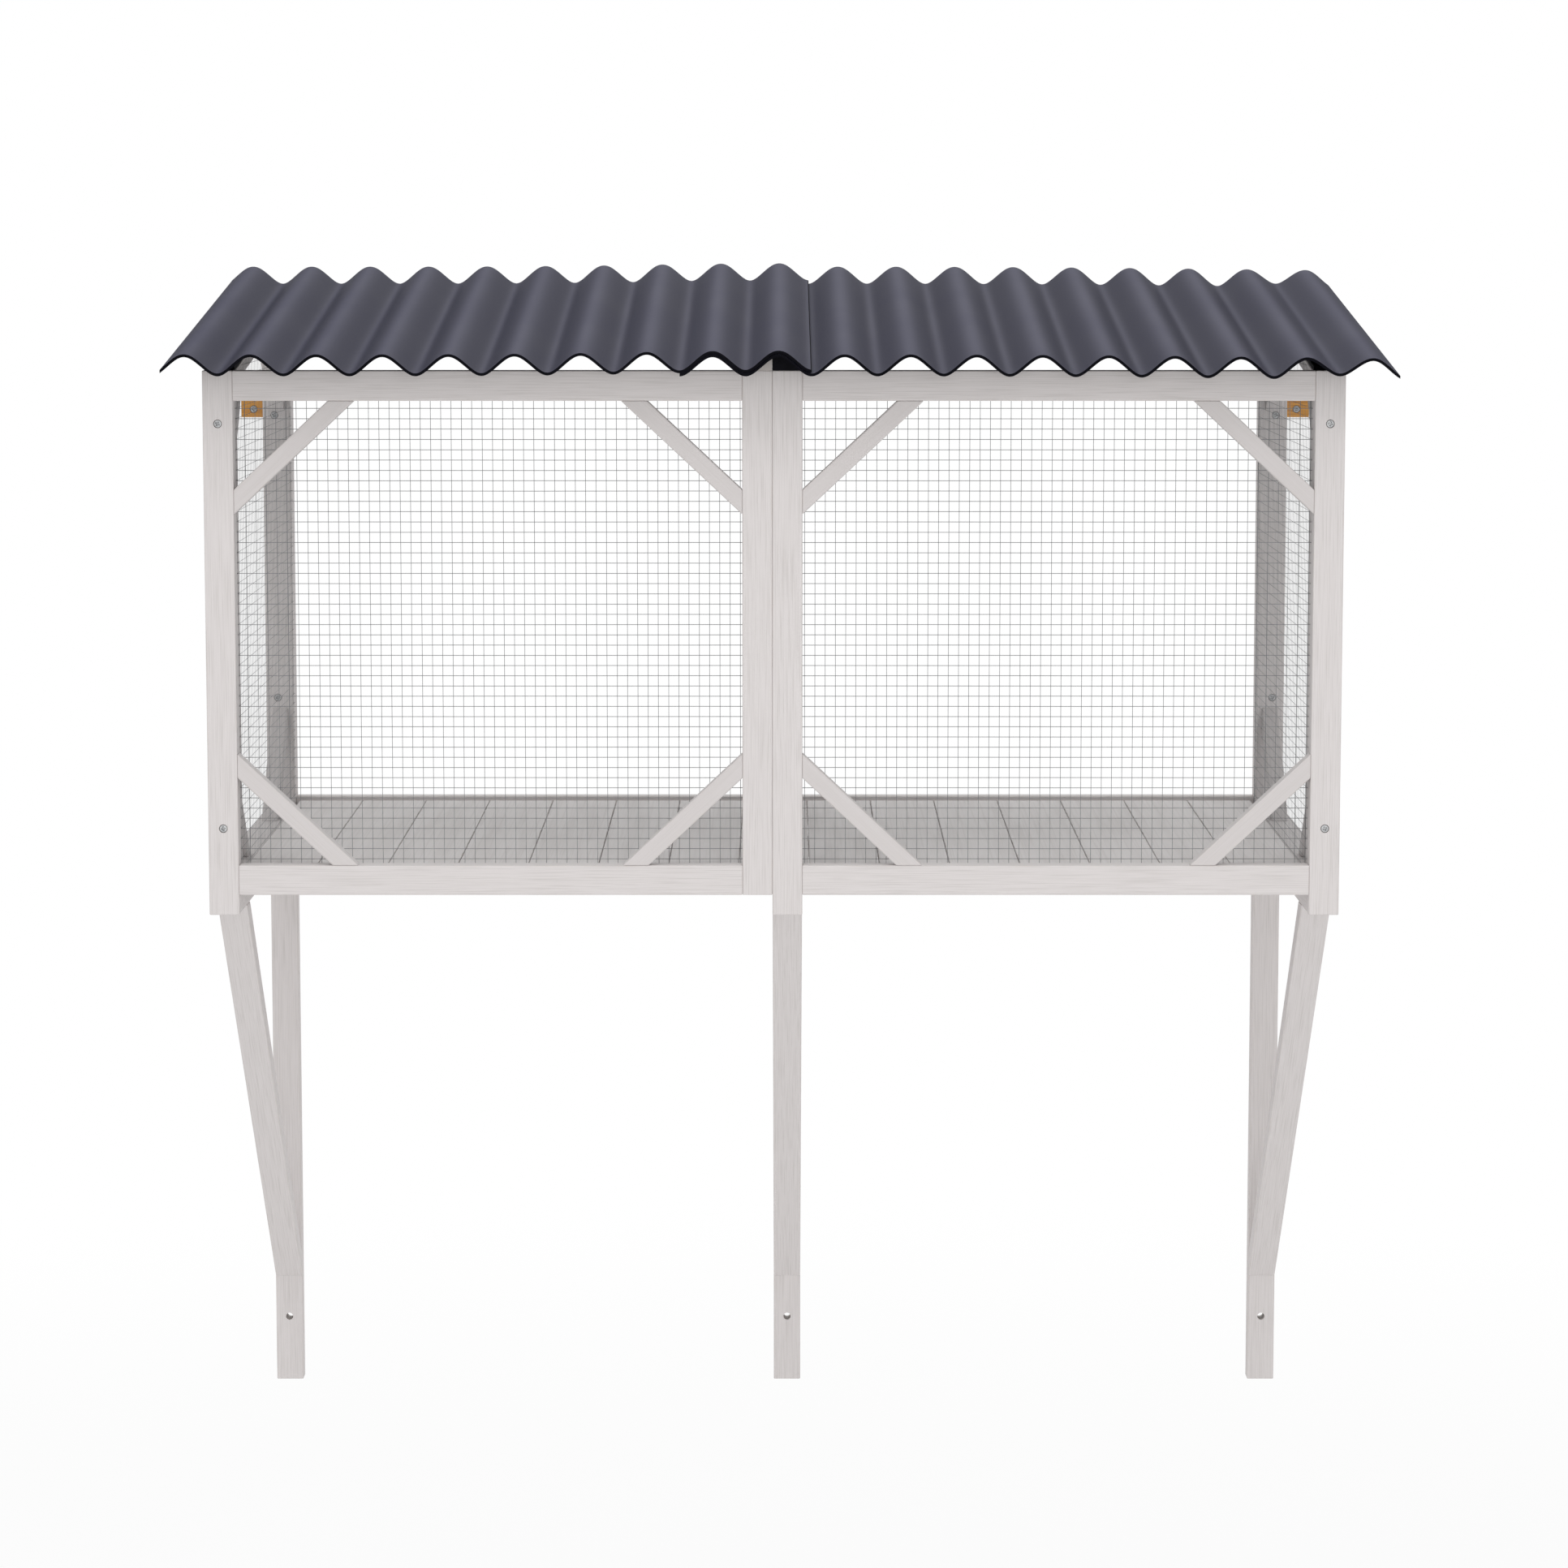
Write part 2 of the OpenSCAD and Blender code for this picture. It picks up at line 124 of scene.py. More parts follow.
@dataclass
class Surface:
    """A mesh under construction, held as arrays.

    Attributes:
        points: Vertex positions, one row each.
        faces: Vertex indices of each face, wound to point outwards.
        uv: For each face corner, metres along the grain and metres across it.
        arris: For each face, 1 on a rounded edge and 0 elsewhere.
        end: For each face, 1 on end grain or a cut edge and 0 elsewhere.
        slot: For each face, the index of its material.
    """

    points: np.ndarray
    faces: list[Sequence[int]]
    uv: np.ndarray | None = None
    arris: np.ndarray | None = None
    end: np.ndarray | None = None
    slot: np.ndarray | None = None

    def __post_init__(self) -> None:
        """Fills what isn't given with zeros."""
        if self.uv is None:
            self.uv = np.zeros((sum(map(len, self.faces)), 2))
        for mark in ("arris", "end", "slot"):
            if getattr(self, mark) is None:
                setattr(self, mark, np.zeros(len(self.faces)))

    @staticmethod
    def joined(parts: Iterable["Surface"]) -> "Surface":
        """Puts several surfaces, which stay apart in space, into one.

        Args:
            parts: The surfaces.

        Returns:
            One surface with all their faces.
        """
        parts = list(parts)
        starts = np.cumsum([0] + [len(part.points) for part in parts]).tolist()
        faces = [
            [index + start for index in face] for part, start in zip(parts, starts) for face in part.faces
        ]
        arrays = {
            name: np.concatenate([getattr(part, name) for part in parts])
            for name in ("points", "uv", "arris", "end", "slot")
        }
        return Surface(faces=faces, **arrays)

    def to_object(self, name: str, smooth_below: float | None = None) -> bpy.types.Object:
        """Makes a mesh object at the origin, with its grain map and its marks.

        Args:
            name: The object's name.
            smooth_below: Angle in degrees under which edges are shaded smooth, or None for flat.

        Returns:
            The object, linked to the scene.
        """
        mesh = bpy.data.meshes.new(name)
        mesh.from_pydata(self.points.tolist(), [], self.faces)
        mesh.uv_layers.new(name=GRAIN_UV).uv.foreach_set("vector", self.uv.astype(np.float32).ravel())
        for label, values in ((ARRIS, self.arris), (END_GRAIN, self.end)):
            attribute = mesh.attributes.new(label, "FLOAT", "FACE")
            attribute.data.foreach_set("value", values.astype(np.float32))
        mesh.polygons.foreach_set("material_index", self.slot.astype(np.int32))
        if smooth_below is None:
            mesh.shade_flat()
        else:
            mesh.shade_smooth()
            mesh.set_sharp_from_angle(angle=math.radians(smooth_below))
        mesh.update()
        return link_object(name, mesh)


def grid_quads(rows: int, columns: int) -> np.ndarray:
    """Lists the quads of a grid whose points are numbered row by row, shape (quads, 4)."""
    index = np.arange(rows * columns).reshape(rows, columns)
    return np.stack([index[:-1, :-1], index[1:, :-1], index[1:, 1:], index[:-1, 1:]], -1).reshape(-1, 4)


def ring_stack(
    rings: np.ndarray, uv: np.ndarray, arris: np.ndarray | None = None, cap_uv: np.ndarray | None = None
) -> Surface:
    """Joins a stack of closed rings into one closed surface with flat caps.

    Quad (k, i) joins points i and i + 1 of ring k to the same points of ring k + 1, where i + 1
    wraps round at the end of the ring.

    Args:
        rings: Positions, shape (rings, points, 3); seen from past the last ring, each one runs
            anticlockwise.
        uv: Grain coordinates of the same grid, shape (rings, points + 1, 2), the last column for
            the point where a ring closes.
        arris: Share of rounding of each quad, shape (rings - 1, points), or None for none.
        cap_uv: Grain coordinates of the caps, shape (points, 2), or None for the ring's own.

    Returns:
        The surface.
    """
    count, size, _ = rings.shape
    k, i = np.meshgrid(np.arange(count - 1), np.arange(size), indexing="ij")
    near = (i + 1) % size
    quads = np.stack([k * size + i, k * size + near, (k + 1) * size + near, (k + 1) * size + i], -1)
    corner_uv = np.stack([uv[k, i], uv[k, i + 1], uv[k + 1, i + 1], uv[k + 1, i]], axis=2)
    first = range(size - 1, -1, -1)
    last = range((count - 1) * size, count * size)
    caps = cap_uv if cap_uv is not None else uv[0, :size]
    marks = np.zeros((count - 1, size)) if arris is None else arris
    return Surface(
        points=rings.reshape(-1, 3),
        faces=[*quads.reshape(-1, 4).tolist(), list(first), list(last)],
        uv=np.concatenate([corner_uv.reshape(-1, 2), caps[::-1], caps]),
        arris=np.append(marks, [0.0, 0.0]),
        end=np.append(np.zeros(marks.size), [1.0, 1.0]),
    )


@dataclass(frozen=True)
class Plank:
    """A straight timber with rounded arrises.

    A rounded rectangle is carried from one end line to the other. A point that lies u metres from
    the end and v metres across is the blend of the four corners of the timber's face at u and v,
    moved t metres along its depth. The rings next to an end shrink along a quarter circle.

    Attributes:
        corners: The face's corners: start low, end low, end high, start high, shape (4, 3).
        depth: Vector from that face to the opposite one.
        arris: Radius of the rounded edges.
        shift: Metres by which the grain is shifted, along and across.
        steps: Steps in which a rounded edge is drawn.
        end_share: Radius of the rounding round an end, as a share of the arris.
    """

    corners: np.ndarray
    depth: np.ndarray
    arris: float = 1.6 * MM
    shift: Pair = (0.0, 0.0)
    steps: int = 3
    end_share: float = 0.85

    def profile(self, width: float, thick: float, inset: float) -> tuple[np.ndarray, np.ndarray]:
        """Works out the rounded rectangle: four quarter circles round fixed centres.

        Args:
            width: Size of the rectangle across.
            thick: Size of the rectangle in depth.
            inset: Distance by which the outline is drawn in.

        Returns:
            The points across and in depth, shape (points, 2), and for each side from one point to
            the next 1 where it lies on a rounded edge.
        """
        near, far, deep = self.arris, width - self.arris, thick - self.arris
        centre = np.array([[near, near], [far, near], [far, deep], [near, deep]])
        turn = np.radians(np.arange(4)[:, None] * 90 + np.linspace(0, 90, self.steps + 1) + 180)
        arc = np.stack([np.cos(turn), np.sin(turn)], axis=-1) * (self.arris - inset)
        rounded = np.tile([1.0] * self.steps + [0.0], 4)
        return (centre[:, None, :] + arc).reshape(-1, 2), rounded

    def surface(self) -> Surface:
        """Builds the timber.

        Returns:
            Its closed surface.
        """
        low_start, low_end, high_end, high_start = self.corners
        base = low_end - low_start
        thick = float(np.linalg.norm(self.depth))
        width = float(np.linalg.norm(np.cross(base, high_start - low_start)) / np.linalg.norm(base))
        count = self.steps + 1
        bend = np.linspace(0, np.pi / 2, count)
        end_radius = self.end_share * self.arris
        reach, inset = end_radius * (1 - np.cos(bend)), end_radius * (1 - np.sin(bend))
        outlines = np.stack([self.profile(width, thick, value)[0] for value in inset])
        outlines = np.concatenate([outlines, outlines[::-1]])
        across, into = outlines[..., 0] / width, outlines[..., 1] / thick
        start = low_start + across[..., None] * (high_start - low_start)
        end = low_end + across[..., None] * (high_end - low_end)
        line = end - start
        length = np.linalg.norm(line, axis=-1, keepdims=True)
        away = reach[:, None, None] / length[:count], 1 - reach[::-1, None, None] / length[count:]
        rings = start + np.concatenate(away) * line + into[..., None] * self.depth
        direction = base / np.linalg.norm(base)
        along = (rings - low_start) @ direction
        outline, rounded = self.profile(width, thick, 0.0)
        arris = np.ones((len(rings) - 1, len(rounded)))
        arris[self.steps] = rounded
        if np.dot(np.cross(high_start - low_start, self.depth), direction) < 0:
            rings, along, outline = rings[:, ::-1], along[:, ::-1], outline[::-1]
            arris = np.roll(arris[:, ::-1], -1, axis=1)
        closed = np.vstack([outline, outline[:1]])
        around = np.append(0.0, np.cumsum(np.linalg.norm(np.diff(closed, axis=0), axis=1)))
        along = np.concatenate([along, along[:, :1]], axis=1)
        uv = np.stack([along, np.broadcast_to(around, along.shape)], axis=-1) + self.shift
        return ring_stack(rings, uv, arris, outline + np.array(self.shift))


@dataclass
class GrainShift:
    """Gives each timber its own stretch of grain, in a fixed order.

    Attributes:
        made: Number of timbers that have been given one.
        shares: Step to the next timber, along and across, as shares of the spans. They are the
            inverses of the golden ratio and of the plastic number, whose multiples never repeat.
        spans: Metres of grain to choose from, along and across.
    """

    made: int = 0
    shares: Pair = (0.618034, 0.754878)
    spans: Pair = (9.0, 3.0)

    def next(self) -> Pair:
        """Steps on to the next timber.

        Returns:
            Its shift in metres, along and across.
        """
        self.made += 1
        along, across = (self.made * share % 1.0 * span for share, span in zip(self.shares, self.spans))
        return along, across


GRAIN = GrainShift()


def node_box(node: str) -> Box:
    """Returns the lowest and highest corner of a solid as arrays."""
    low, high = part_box(node)
    return np.array(low), np.array(high)


def upright_plank(box: Box, along: Along, across: Along, arris: float = Plank.arris) -> Surface:
    """Builds the timber that fills a box.

    Args:
        box: Its lowest and highest corner.
        along: The axis of its length.
        across: The axis of its width.
        arris: Radius of the rounded edges.

    Returns:
        The timber's surface.
    """
    low, high = box
    size = high - low
    length, width = size * AXES[along.value], size * AXES[across.value]
    corners = np.array([low, low + length, low + length + width, low + width])
    return Plank(corners, size - length - width, arris, GRAIN.next()).surface()


def box_plank(node: str) -> Surface:
    """Builds the timber that fills a solid's box, with its length along the longest side.

    Args:
        node: The solid that it replaces.

    Returns:
        The timber's surface.
    """
    low, high = node_box(node)
    _, across, along = np.argsort(high - low)
    return upright_plank((low, high), Along(int(along)), Along(int(across)))


def cut_plank(node: str, outline: Sequence[Pair], square: Along = Along.X) -> Surface:
    """Builds a timber from the outline of its face, as deep as its solid's box.

    Args:
        node: The solid that it replaces.
        outline: Start low, end low, end high and start high, each by its places on the face's axes.
        square: The axis that the face is square to.

    Returns:
        The timber's surface.
    """
    low, high = node_box(node)
    corners = np.insert(np.array(outline), square.value, low[square.value], axis=1)
    return Plank(corners, (high - low) * AXES[square.value], shift=GRAIN.next()).surface()


def tubes(centres: np.ndarray, radius: float, along: Along, sides: int = 6) -> Surface:
    """Builds straight or slightly wavy wires: a polygon carried along each centre line.

    A point at angle a of a section lies at its centre plus radius * (side * cos a + other * sin a),
    where side and other are the axes that follow the wire's own.

    Args:
        centres: Sections of each wire, shape (wires, sections, 3).
        radius: Radius of the wire.
        along: The axis of the wires.
        sides: Number of sides of the polygon.

    Returns:
        One surface with all the wires.
    """
    side, other = np.roll(AXES, -along.value - 1, axis=0)[:2]
    turn = np.linspace(0, 2 * np.pi, sides, endpoint=False)
    ring = radius * (np.cos(turn)[:, None] * side + np.sin(turn)[:, None] * other)
    points = centres[:, :, None, :] + ring
    wires, sections = centres.shape[:2]
    w, k, i = np.meshgrid(np.arange(wires), np.arange(sections - 1), np.arange(sides), indexing="ij")
    base, near = (w * sections + k) * sides, (i + 1) % sides
    quads = np.stack([base + i, base + near, base + sides + near, base + sides + i], -1).reshape(-1, 4)
    first = np.arange(wires)[:, None] * sections * sides + np.arange(sides - 1, -1, -1)
    last = (np.arange(wires)[:, None] * sections + sections - 1) * sides + np.arange(sides)
    faces = quads.tolist() + first.tolist() + last.tolist()
    return Surface(points.reshape(-1, 3), faces, end=np.append(np.zeros(len(quads)), np.ones(2 * wires)))


@dataclass(frozen=True)
class Hole:
    """A round hole along Y.

    Attributes:
        x: Place of its centre.
        z: Height of its centre.
        radius: Its radius.
        start: Where it starts along Y.
        stop: Where it ends.
        sides: Number of sides that it is drawn with.
    """

    x: float
    z: float
    radius: float
    start: float
    stop: float
    sides: int = 40

    def plug(self) -> Surface:
        """Builds what the hole takes away: a circle carried from its start to its end.

        Returns:
            The closed surface of the plug.
        """
        turn = np.linspace(0, 2 * np.pi, self.sides, endpoint=False)
        x, z = self.x + self.radius * np.cos(turn), self.z - self.radius * np.sin(turn)
        rings = np.stack([np.stack([x, np.full(self.sides, y), z], -1) for y in (self.start, self.stop)])
        uv = np.stack([rings[..., 1], rings[..., 0]], axis=-1)
        plug = ring_stack(rings, np.concatenate([uv, uv[:, :1]], axis=1))
        plug.end[:] = 1.0
        return plug


def drill(piece: bpy.types.Object, holes: Sequence[Hole]) -> None:
    """Cuts holes into a piece.

    Args:
        piece: The mesh object, whose mesh is replaced.
        holes: The holes.
    """
    cutter = Surface.joined(hole.plug() for hole in holes).to_object(piece.name + "_drill")
    cut = piece.modifiers.new("drill", "BOOLEAN")
    cut.operation, cut.solver, cut.object = "DIFFERENCE", "EXACT", cutter
    depsgraph = bpy.context.evaluated_depsgraph_get()
    drilled = bpy.data.meshes.new_from_object(piece.evaluated_get(depsgraph), depsgraph=depsgraph)
    piece.modifiers.clear()
    piece.data = drilled
    bpy.data.objects.remove(cutter)


def settle(piece: bpy.types.Object, coat: Coat, node: str, *materials: bpy.types.Material) -> None:
    """Dresses a piece, hangs it on the enclosure and hides the solid that it stands for.

    Args:
        piece: The finished mesh object.
        coat: The record's slot of its main finish; not used.
        node: The solid that it replaces.
        materials: Its materials, in the order of the faces' indices.
    """
    for material in materials:
        piece.data.materials.append(material)
    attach(piece, BODY)
    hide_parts(node)
    log.info("%s: %d faces, for %s", piece.name, len(piece.data.polygons), node)


def settle_timber(
    surface: Surface,
    node: str,
    *materials: bpy.types.Material,
    holes: Sequence[Hole] = (),
    coat: Coat = Coat.WASHED,
) -> None:
    """Makes a timber, drills it and settles it.

    Args:
        surface: The timber's shape.
        node: The solid that it replaces.
        materials: Its materials, in the order of the faces' indices.
        holes: The holes in it.
        coat: The record's slot of its finish.
    """
    piece = surface.to_object("timber_" + node)
    if holes:
        drill(piece, holes)
    settle(piece, coat, node, *materials)


# Shader graphs


@dataclass(frozen=True)
class Graph:
    """Adds and links the nodes of one shader or group tree.

    Attributes:
        tree: The tree that the nodes go into.
    """

    tree: bpy.types.NodeTree

    def feed(self, node: bpy.types.Node, inputs: dict) -> None:
        """Links sockets, or sets values, to a node's inputs.

        Args:
            node: The node.
            inputs: Values or sockets for its inputs, by name or number.
        """
        for name, value in inputs.items():
            if isinstance(value, bpy.types.NodeSocket):
                self.tree.links.new(value, node.inputs[name])
            else:
                node.inputs[name].default_value = value

    def add(self, kind: str, inputs: dict | None = None, **settings: object) -> bpy.types.Node:
        """Adds a node.

        Args:
            kind: The node's type.
            inputs: Values or sockets for its inputs, by name or number.
            settings: Properties of the node.

        Returns:
            The node.
        """
        node = self.tree.nodes.new(kind)
        for name, value in settings.items():
            setattr(node, name, value)
        self.feed(node, inputs or {})
        return node

    def math(self, operation: str, *values: object, clamp: bool = False) -> bpy.types.NodeSocket:
        """Adds a Math node and returns its output."""
        inputs = dict(enumerate(values))
        return self.add("ShaderNodeMath", inputs, operation=operation, use_clamp=clamp).outputs[0]

    def vector(self, operation: str, *values: object) -> bpy.types.NodeSocket:
        """Adds a Vector Math node and returns its vector."""
        return self.add("ShaderNodeVectorMath", dict(enumerate(values)), operation=operation).outputs[0]

    def weigh(self, share: float, first: object, second: object) -> bpy.types.NodeSocket:
        """Adds up a share of the first value and the rest of the second."""
        return self.math("ADD", self.math("MULTIPLY", first, share), self.math("MULTIPLY", second, 1 - share))

    def spread(self, value: object, low: float, high: float) -> bpy.types.NodeSocket:
        """Maps a value smoothly from the range low to high onto 0 to 1."""
        inputs = {"Value": value, "From Min": low, "From Max": high}
        return self.add("ShaderNodeMapRange", inputs, interpolation_type="SMOOTHSTEP").outputs["Result"]

    def mix(self, share: object, first: object, second: object) -> bpy.types.NodeSocket:
        """Mixes two colours and returns the mixed one."""
        inputs = {"Factor": share, 6: first, 7: second}
        return self.add("ShaderNodeMix", inputs, data_type="RGBA").outputs[2]

    def noise(self, place: object, scale: object, detail: float, **more: float) -> bpy.types.NodeSocket:
        """Adds a Noise Texture and returns its value; more sets its other inputs."""
        inputs = {"Vector": place, "Scale": scale, "Detail": detail, **more}
        return self.add("ShaderNodeTexNoise", inputs).outputs["Fac"]

    def effect(self, group: bpy.types.NodeTree, inputs: dict) -> bpy.types.bpy_prop_collection:
        """Adds a node group and returns its outputs."""
        return self.add("ShaderNodeGroup", inputs, node_tree=group).outputs

    def seen(self) -> bpy.types.NodeSocket:
        """Tells the rays that show a surface, straight, in a reflection or through glass, from the rest.

        Returns:
            1 for a ray that shows it and 0 for one that only lights.
        """
        path = self.add("ShaderNodeLightPath").outputs
        direct = self.math("MAXIMUM", path["Is Camera Ray"], path["Is Glossy Ray"])
        return self.math("MAXIMUM", direct, path["Is Transmission Ray"])


def new_group(
    name: str, numbers: dict[str, float], outputs: Sequence[str]
) -> tuple[Graph, bpy.types.bpy_prop_collection, bpy.types.Node]:
    """Starts a shader node group that is given a vector and some numbers.

    Args:
        name: The group's name.
        numbers: The default value of each number that it is given.
        outputs: Names of its outputs, all of them numbers.

    Returns:
        Its graph, the sockets of what it is given, and its output node.
    """
    tree = bpy.data.node_groups.new(name, "ShaderNodeTree")
    tree.interface.new_socket("Vector", in_out="INPUT", socket_type="NodeSocketVector")
    for label, value in numbers.items():
        socket = tree.interface.new_socket(label, in_out="INPUT", socket_type="NodeSocketFloat")
        socket.default_value = value
    for label in outputs:
        tree.interface.new_socket(label, in_out="OUTPUT", socket_type="NodeSocketFloat")
    graph = Graph(tree)
    return graph, graph.add("NodeGroupInput").outputs, graph.add("NodeGroupOutput")


def grain_group() -> bpy.types.NodeTree:
    """Builds the wood grain: noise stretched along the timber at two widths.

    Returns:
        A group that puts out fine streaks, broad bands and a height.
    """
    numbers = {"Streak Width": 3 * MM, "Band Width": 14 * MM, "Reach": 0.25}
    graph, given, out = new_group("timber_grain", numbers, ["Streaks", "Bands", "Height"])

    def layer(width: str, depth: float, detail: float) -> bpy.types.NodeSocket:
        """Adds noise in long cells, cut at a depth of its own.

        Args:
            width: The group's number for the width of a cell.
            depth: Where the noise is cut.
            detail: How fine its detail goes.

        Returns:
            The noise.
        """
        cell = graph.add("ShaderNodeCombineXYZ", {"X": given["Reach"], "Y": given[width], "Z": 1.0})
        scaled = graph.vector("DIVIDE", given["Vector"], cell.outputs[0])
        moved = graph.vector("ADD", scaled, (0.0, 0.0, depth))
        return graph.noise(moved, 1.0, detail, Roughness=0.55, Distortion=0.15)

    streaks = layer("Streak Width", depth=0.0, detail=4.0)
    bands = layer("Band Width", depth=5.0, detail=2.0)
    height = graph.weigh(0.7, streaks, bands)
    graph.feed(out, {"Streaks": streaks, "Bands": bands, "Height": height})
    return graph.tree


def mottle_group() -> bpy.types.NodeTree:
    """Builds an even mottle: soft clouds with a fine speckle on them.

    Returns:
        A group that puts out clouds, a speckle and a height.
    """
    numbers = {"Cloud Size": 80 * MM, "Speckle Size": 2 * MM}
    graph, given, out = new_group("surface_mottle", numbers, ["Clouds", "Speckle", "Height"])
    clouds, speckle = (
        graph.noise(given["Vector"], graph.math("DIVIDE", 1.0, given[size]), detail)
        for size, detail in (("Cloud Size", 3.0), ("Speckle Size", 2.0))
    )
    height = graph.weigh(0.6, speckle, clouds)
    graph.feed(out, {"Clouds": clouds, "Speckle": speckle, "Height": height})
    return graph.tree


def wear_group() -> bpy.types.NodeTree:
    """Builds the wear of an arris: patches along the rounded edges and round the cut ends.

    Returns:
        A group that puts out the worn patches and the end grain as masks.
    """
    numbers = {"Patch Size": 30 * MM, "Amount": 0.5}
    graph, given, out = new_group("arris_wear", numbers, ["Worn", "End Grain"])
    arris, end = (
        graph.add("ShaderNodeAttribute", attribute_name=name).outputs["Fac"] for name in (ARRIS, END_GRAIN)
    )
    noise = graph.noise(given["Vector"], graph.math("DIVIDE", 1.0, given["Patch Size"]), 3.0)
    patches = graph.math("MULTIPLY", arris, graph.spread(noise, low=0.42, high=0.66))
    worn = graph.math("MULTIPLY", patches, given["Amount"], clamp=True)
    graph.feed(out, {"Worn": worn, "End Grain": end})
    return graph.tree


def painted_highlight_group() -> bpy.types.NodeTree:
    """Builds a painted highlight on a corrugated sheet, broad on its crests and narrow in its troughs, where
    a light from above would fall on the level parts of the wave.

    With c the cosine of the turn from a crest, the crests' share is (1 + c) / 2 to the fifth power
    and the troughs' share (1 - c) / 2 to the thirtieth.

    Returns:
        A group that puts out both shares.
    """
    numbers = {"Pitch": 80 * MM, "Crest": 5.8 * MM}
    graph, given, out = new_group("wave_sheen", numbers, ["Crests", "Troughs"])
    crest_power, trough_power = 5.0, 30.0
    x = graph.add("ShaderNodeSeparateXYZ", {0: given["Vector"]}).outputs["X"]
    waves = graph.math("DIVIDE", graph.math("SUBTRACT", x, given["Crest"]), given["Pitch"])
    cosine = graph.math("COSINE", graph.math("MULTIPLY", waves, 2 * math.pi))
    half = graph.math("MULTIPLY_ADD", cosine, 0.5, 0.5)
    crests = graph.math("POWER", half, crest_power)
    troughs = graph.math("POWER", graph.math("SUBTRACT", 1.0, half), trough_power)
    graph.feed(out, {"Crests": crests, "Troughs": troughs})
    return graph.tree


# Finishes


def linear(red: float, green: float, blue: float) -> tuple[float, float, float, float]:
    """Turns a colour as it looks on screen into the linear values of a shader.

    A value v from 0 to 1 becomes v / 12.92 up to 0.04045, and ((v + 0.055) / 1.055) to the power
    2.4 above it.

    Args:
        red: Red, from 0 to 255.
        green: Green.
        blue: Blue.

    Returns:
        The linear red, green, blue and full opacity.
    """
    shares = np.array([red, green, blue]) / 255
    values = np.where(shares <= 0.04045, shares / 12.92, ((shares + 0.055) / 1.055) ** 2.4)
    return float(values[0]), float(values[1]), float(values[2]), 1.0


@dataclass(frozen=True)
class Groups:
    """The shared effects, each built once.

    Attributes:
        grain: Streaks and bands of wood.
        mottle: Clouds and speckle.
        wear: Worn arrises and end grain.
        painted_highlight: Painted highlight of the corrugated sheets, on their crests and in their troughs.
    """

    grain: bpy.types.NodeTree
    mottle: bpy.types.NodeTree
    wear: bpy.types.NodeTree
    painted_highlight: bpy.types.NodeTree


def start_material(
    name: str, roughness: float, metallic: float = 0.0
) -> tuple[bpy.types.Material, Graph, bpy.types.Node]:
    """Starts a material with one Principled shader.

    Args:
        name: The material's name.
        roughness: Its plain roughness.
        metallic: 1 for bare metal.

    Returns:
        The material, its graph and its shader node.
    """
    material = bpy.data.materials.new(name)
    material.use_nodes = True
    graph = Graph(material.node_tree)
    shader = next(node for node in graph.tree.nodes if node.type == "BSDF_PRINCIPLED")
    graph.feed(shader, {"Roughness": roughness, "Metallic": metallic})
    return material, graph, shader


@dataclass(frozen=True, kw_only=True)
class Finish:
    """What every finish has: two colours, a roughness and a fine relief.

    Attributes:
        name: The material's name.
        light: Colour of its lighter parts.
        dark: Colour of its darker ones.
        roughness: Plain roughness.
        rough_spread: Change of roughness between the two.
        metallic: 1 for bare metal.
        specular: Level of the plain reflection.
        relief: Height of the relief in metres.
        relief_share: Share of it that shows.
    """

    name: str
    light: Triple
    dark: Triple
    roughness: float
    rough_spread: float = 0.1
    metallic: float = 0.0
    specular: float = 0.5
    relief: float
    relief_share: float = 0.5

    def paint(self, graph: Graph, groups: Groups) -> tuple[bpy.types.NodeSocket, ...]:
        """Adds the finish's own nodes.

        Args:
            graph: The material's graph.
            groups: The shared effects.

        Returns:
            Its colour, its roughness and its height.
        """
        raise NotImplementedError

    def build(self, groups: Groups) -> bpy.types.Material:
        """Builds the material.

        Args:
            groups: The shared effects.

        Returns:
            The material.
        """
        material, graph, shader = start_material(self.name, self.roughness, self.metallic)
        colour, rough, height = self.paint(graph, groups)
        relief = {"Height": height, "Distance": self.relief, "Strength": self.relief_share}
        normal = graph.add("ShaderNodeBump", relief).outputs["Normal"]
        graph.feed(shader, {"Base Color": colour, "Roughness": rough, "Normal": normal})
        graph.feed(shader, {"Specular IOR Level": self.specular})
        return material


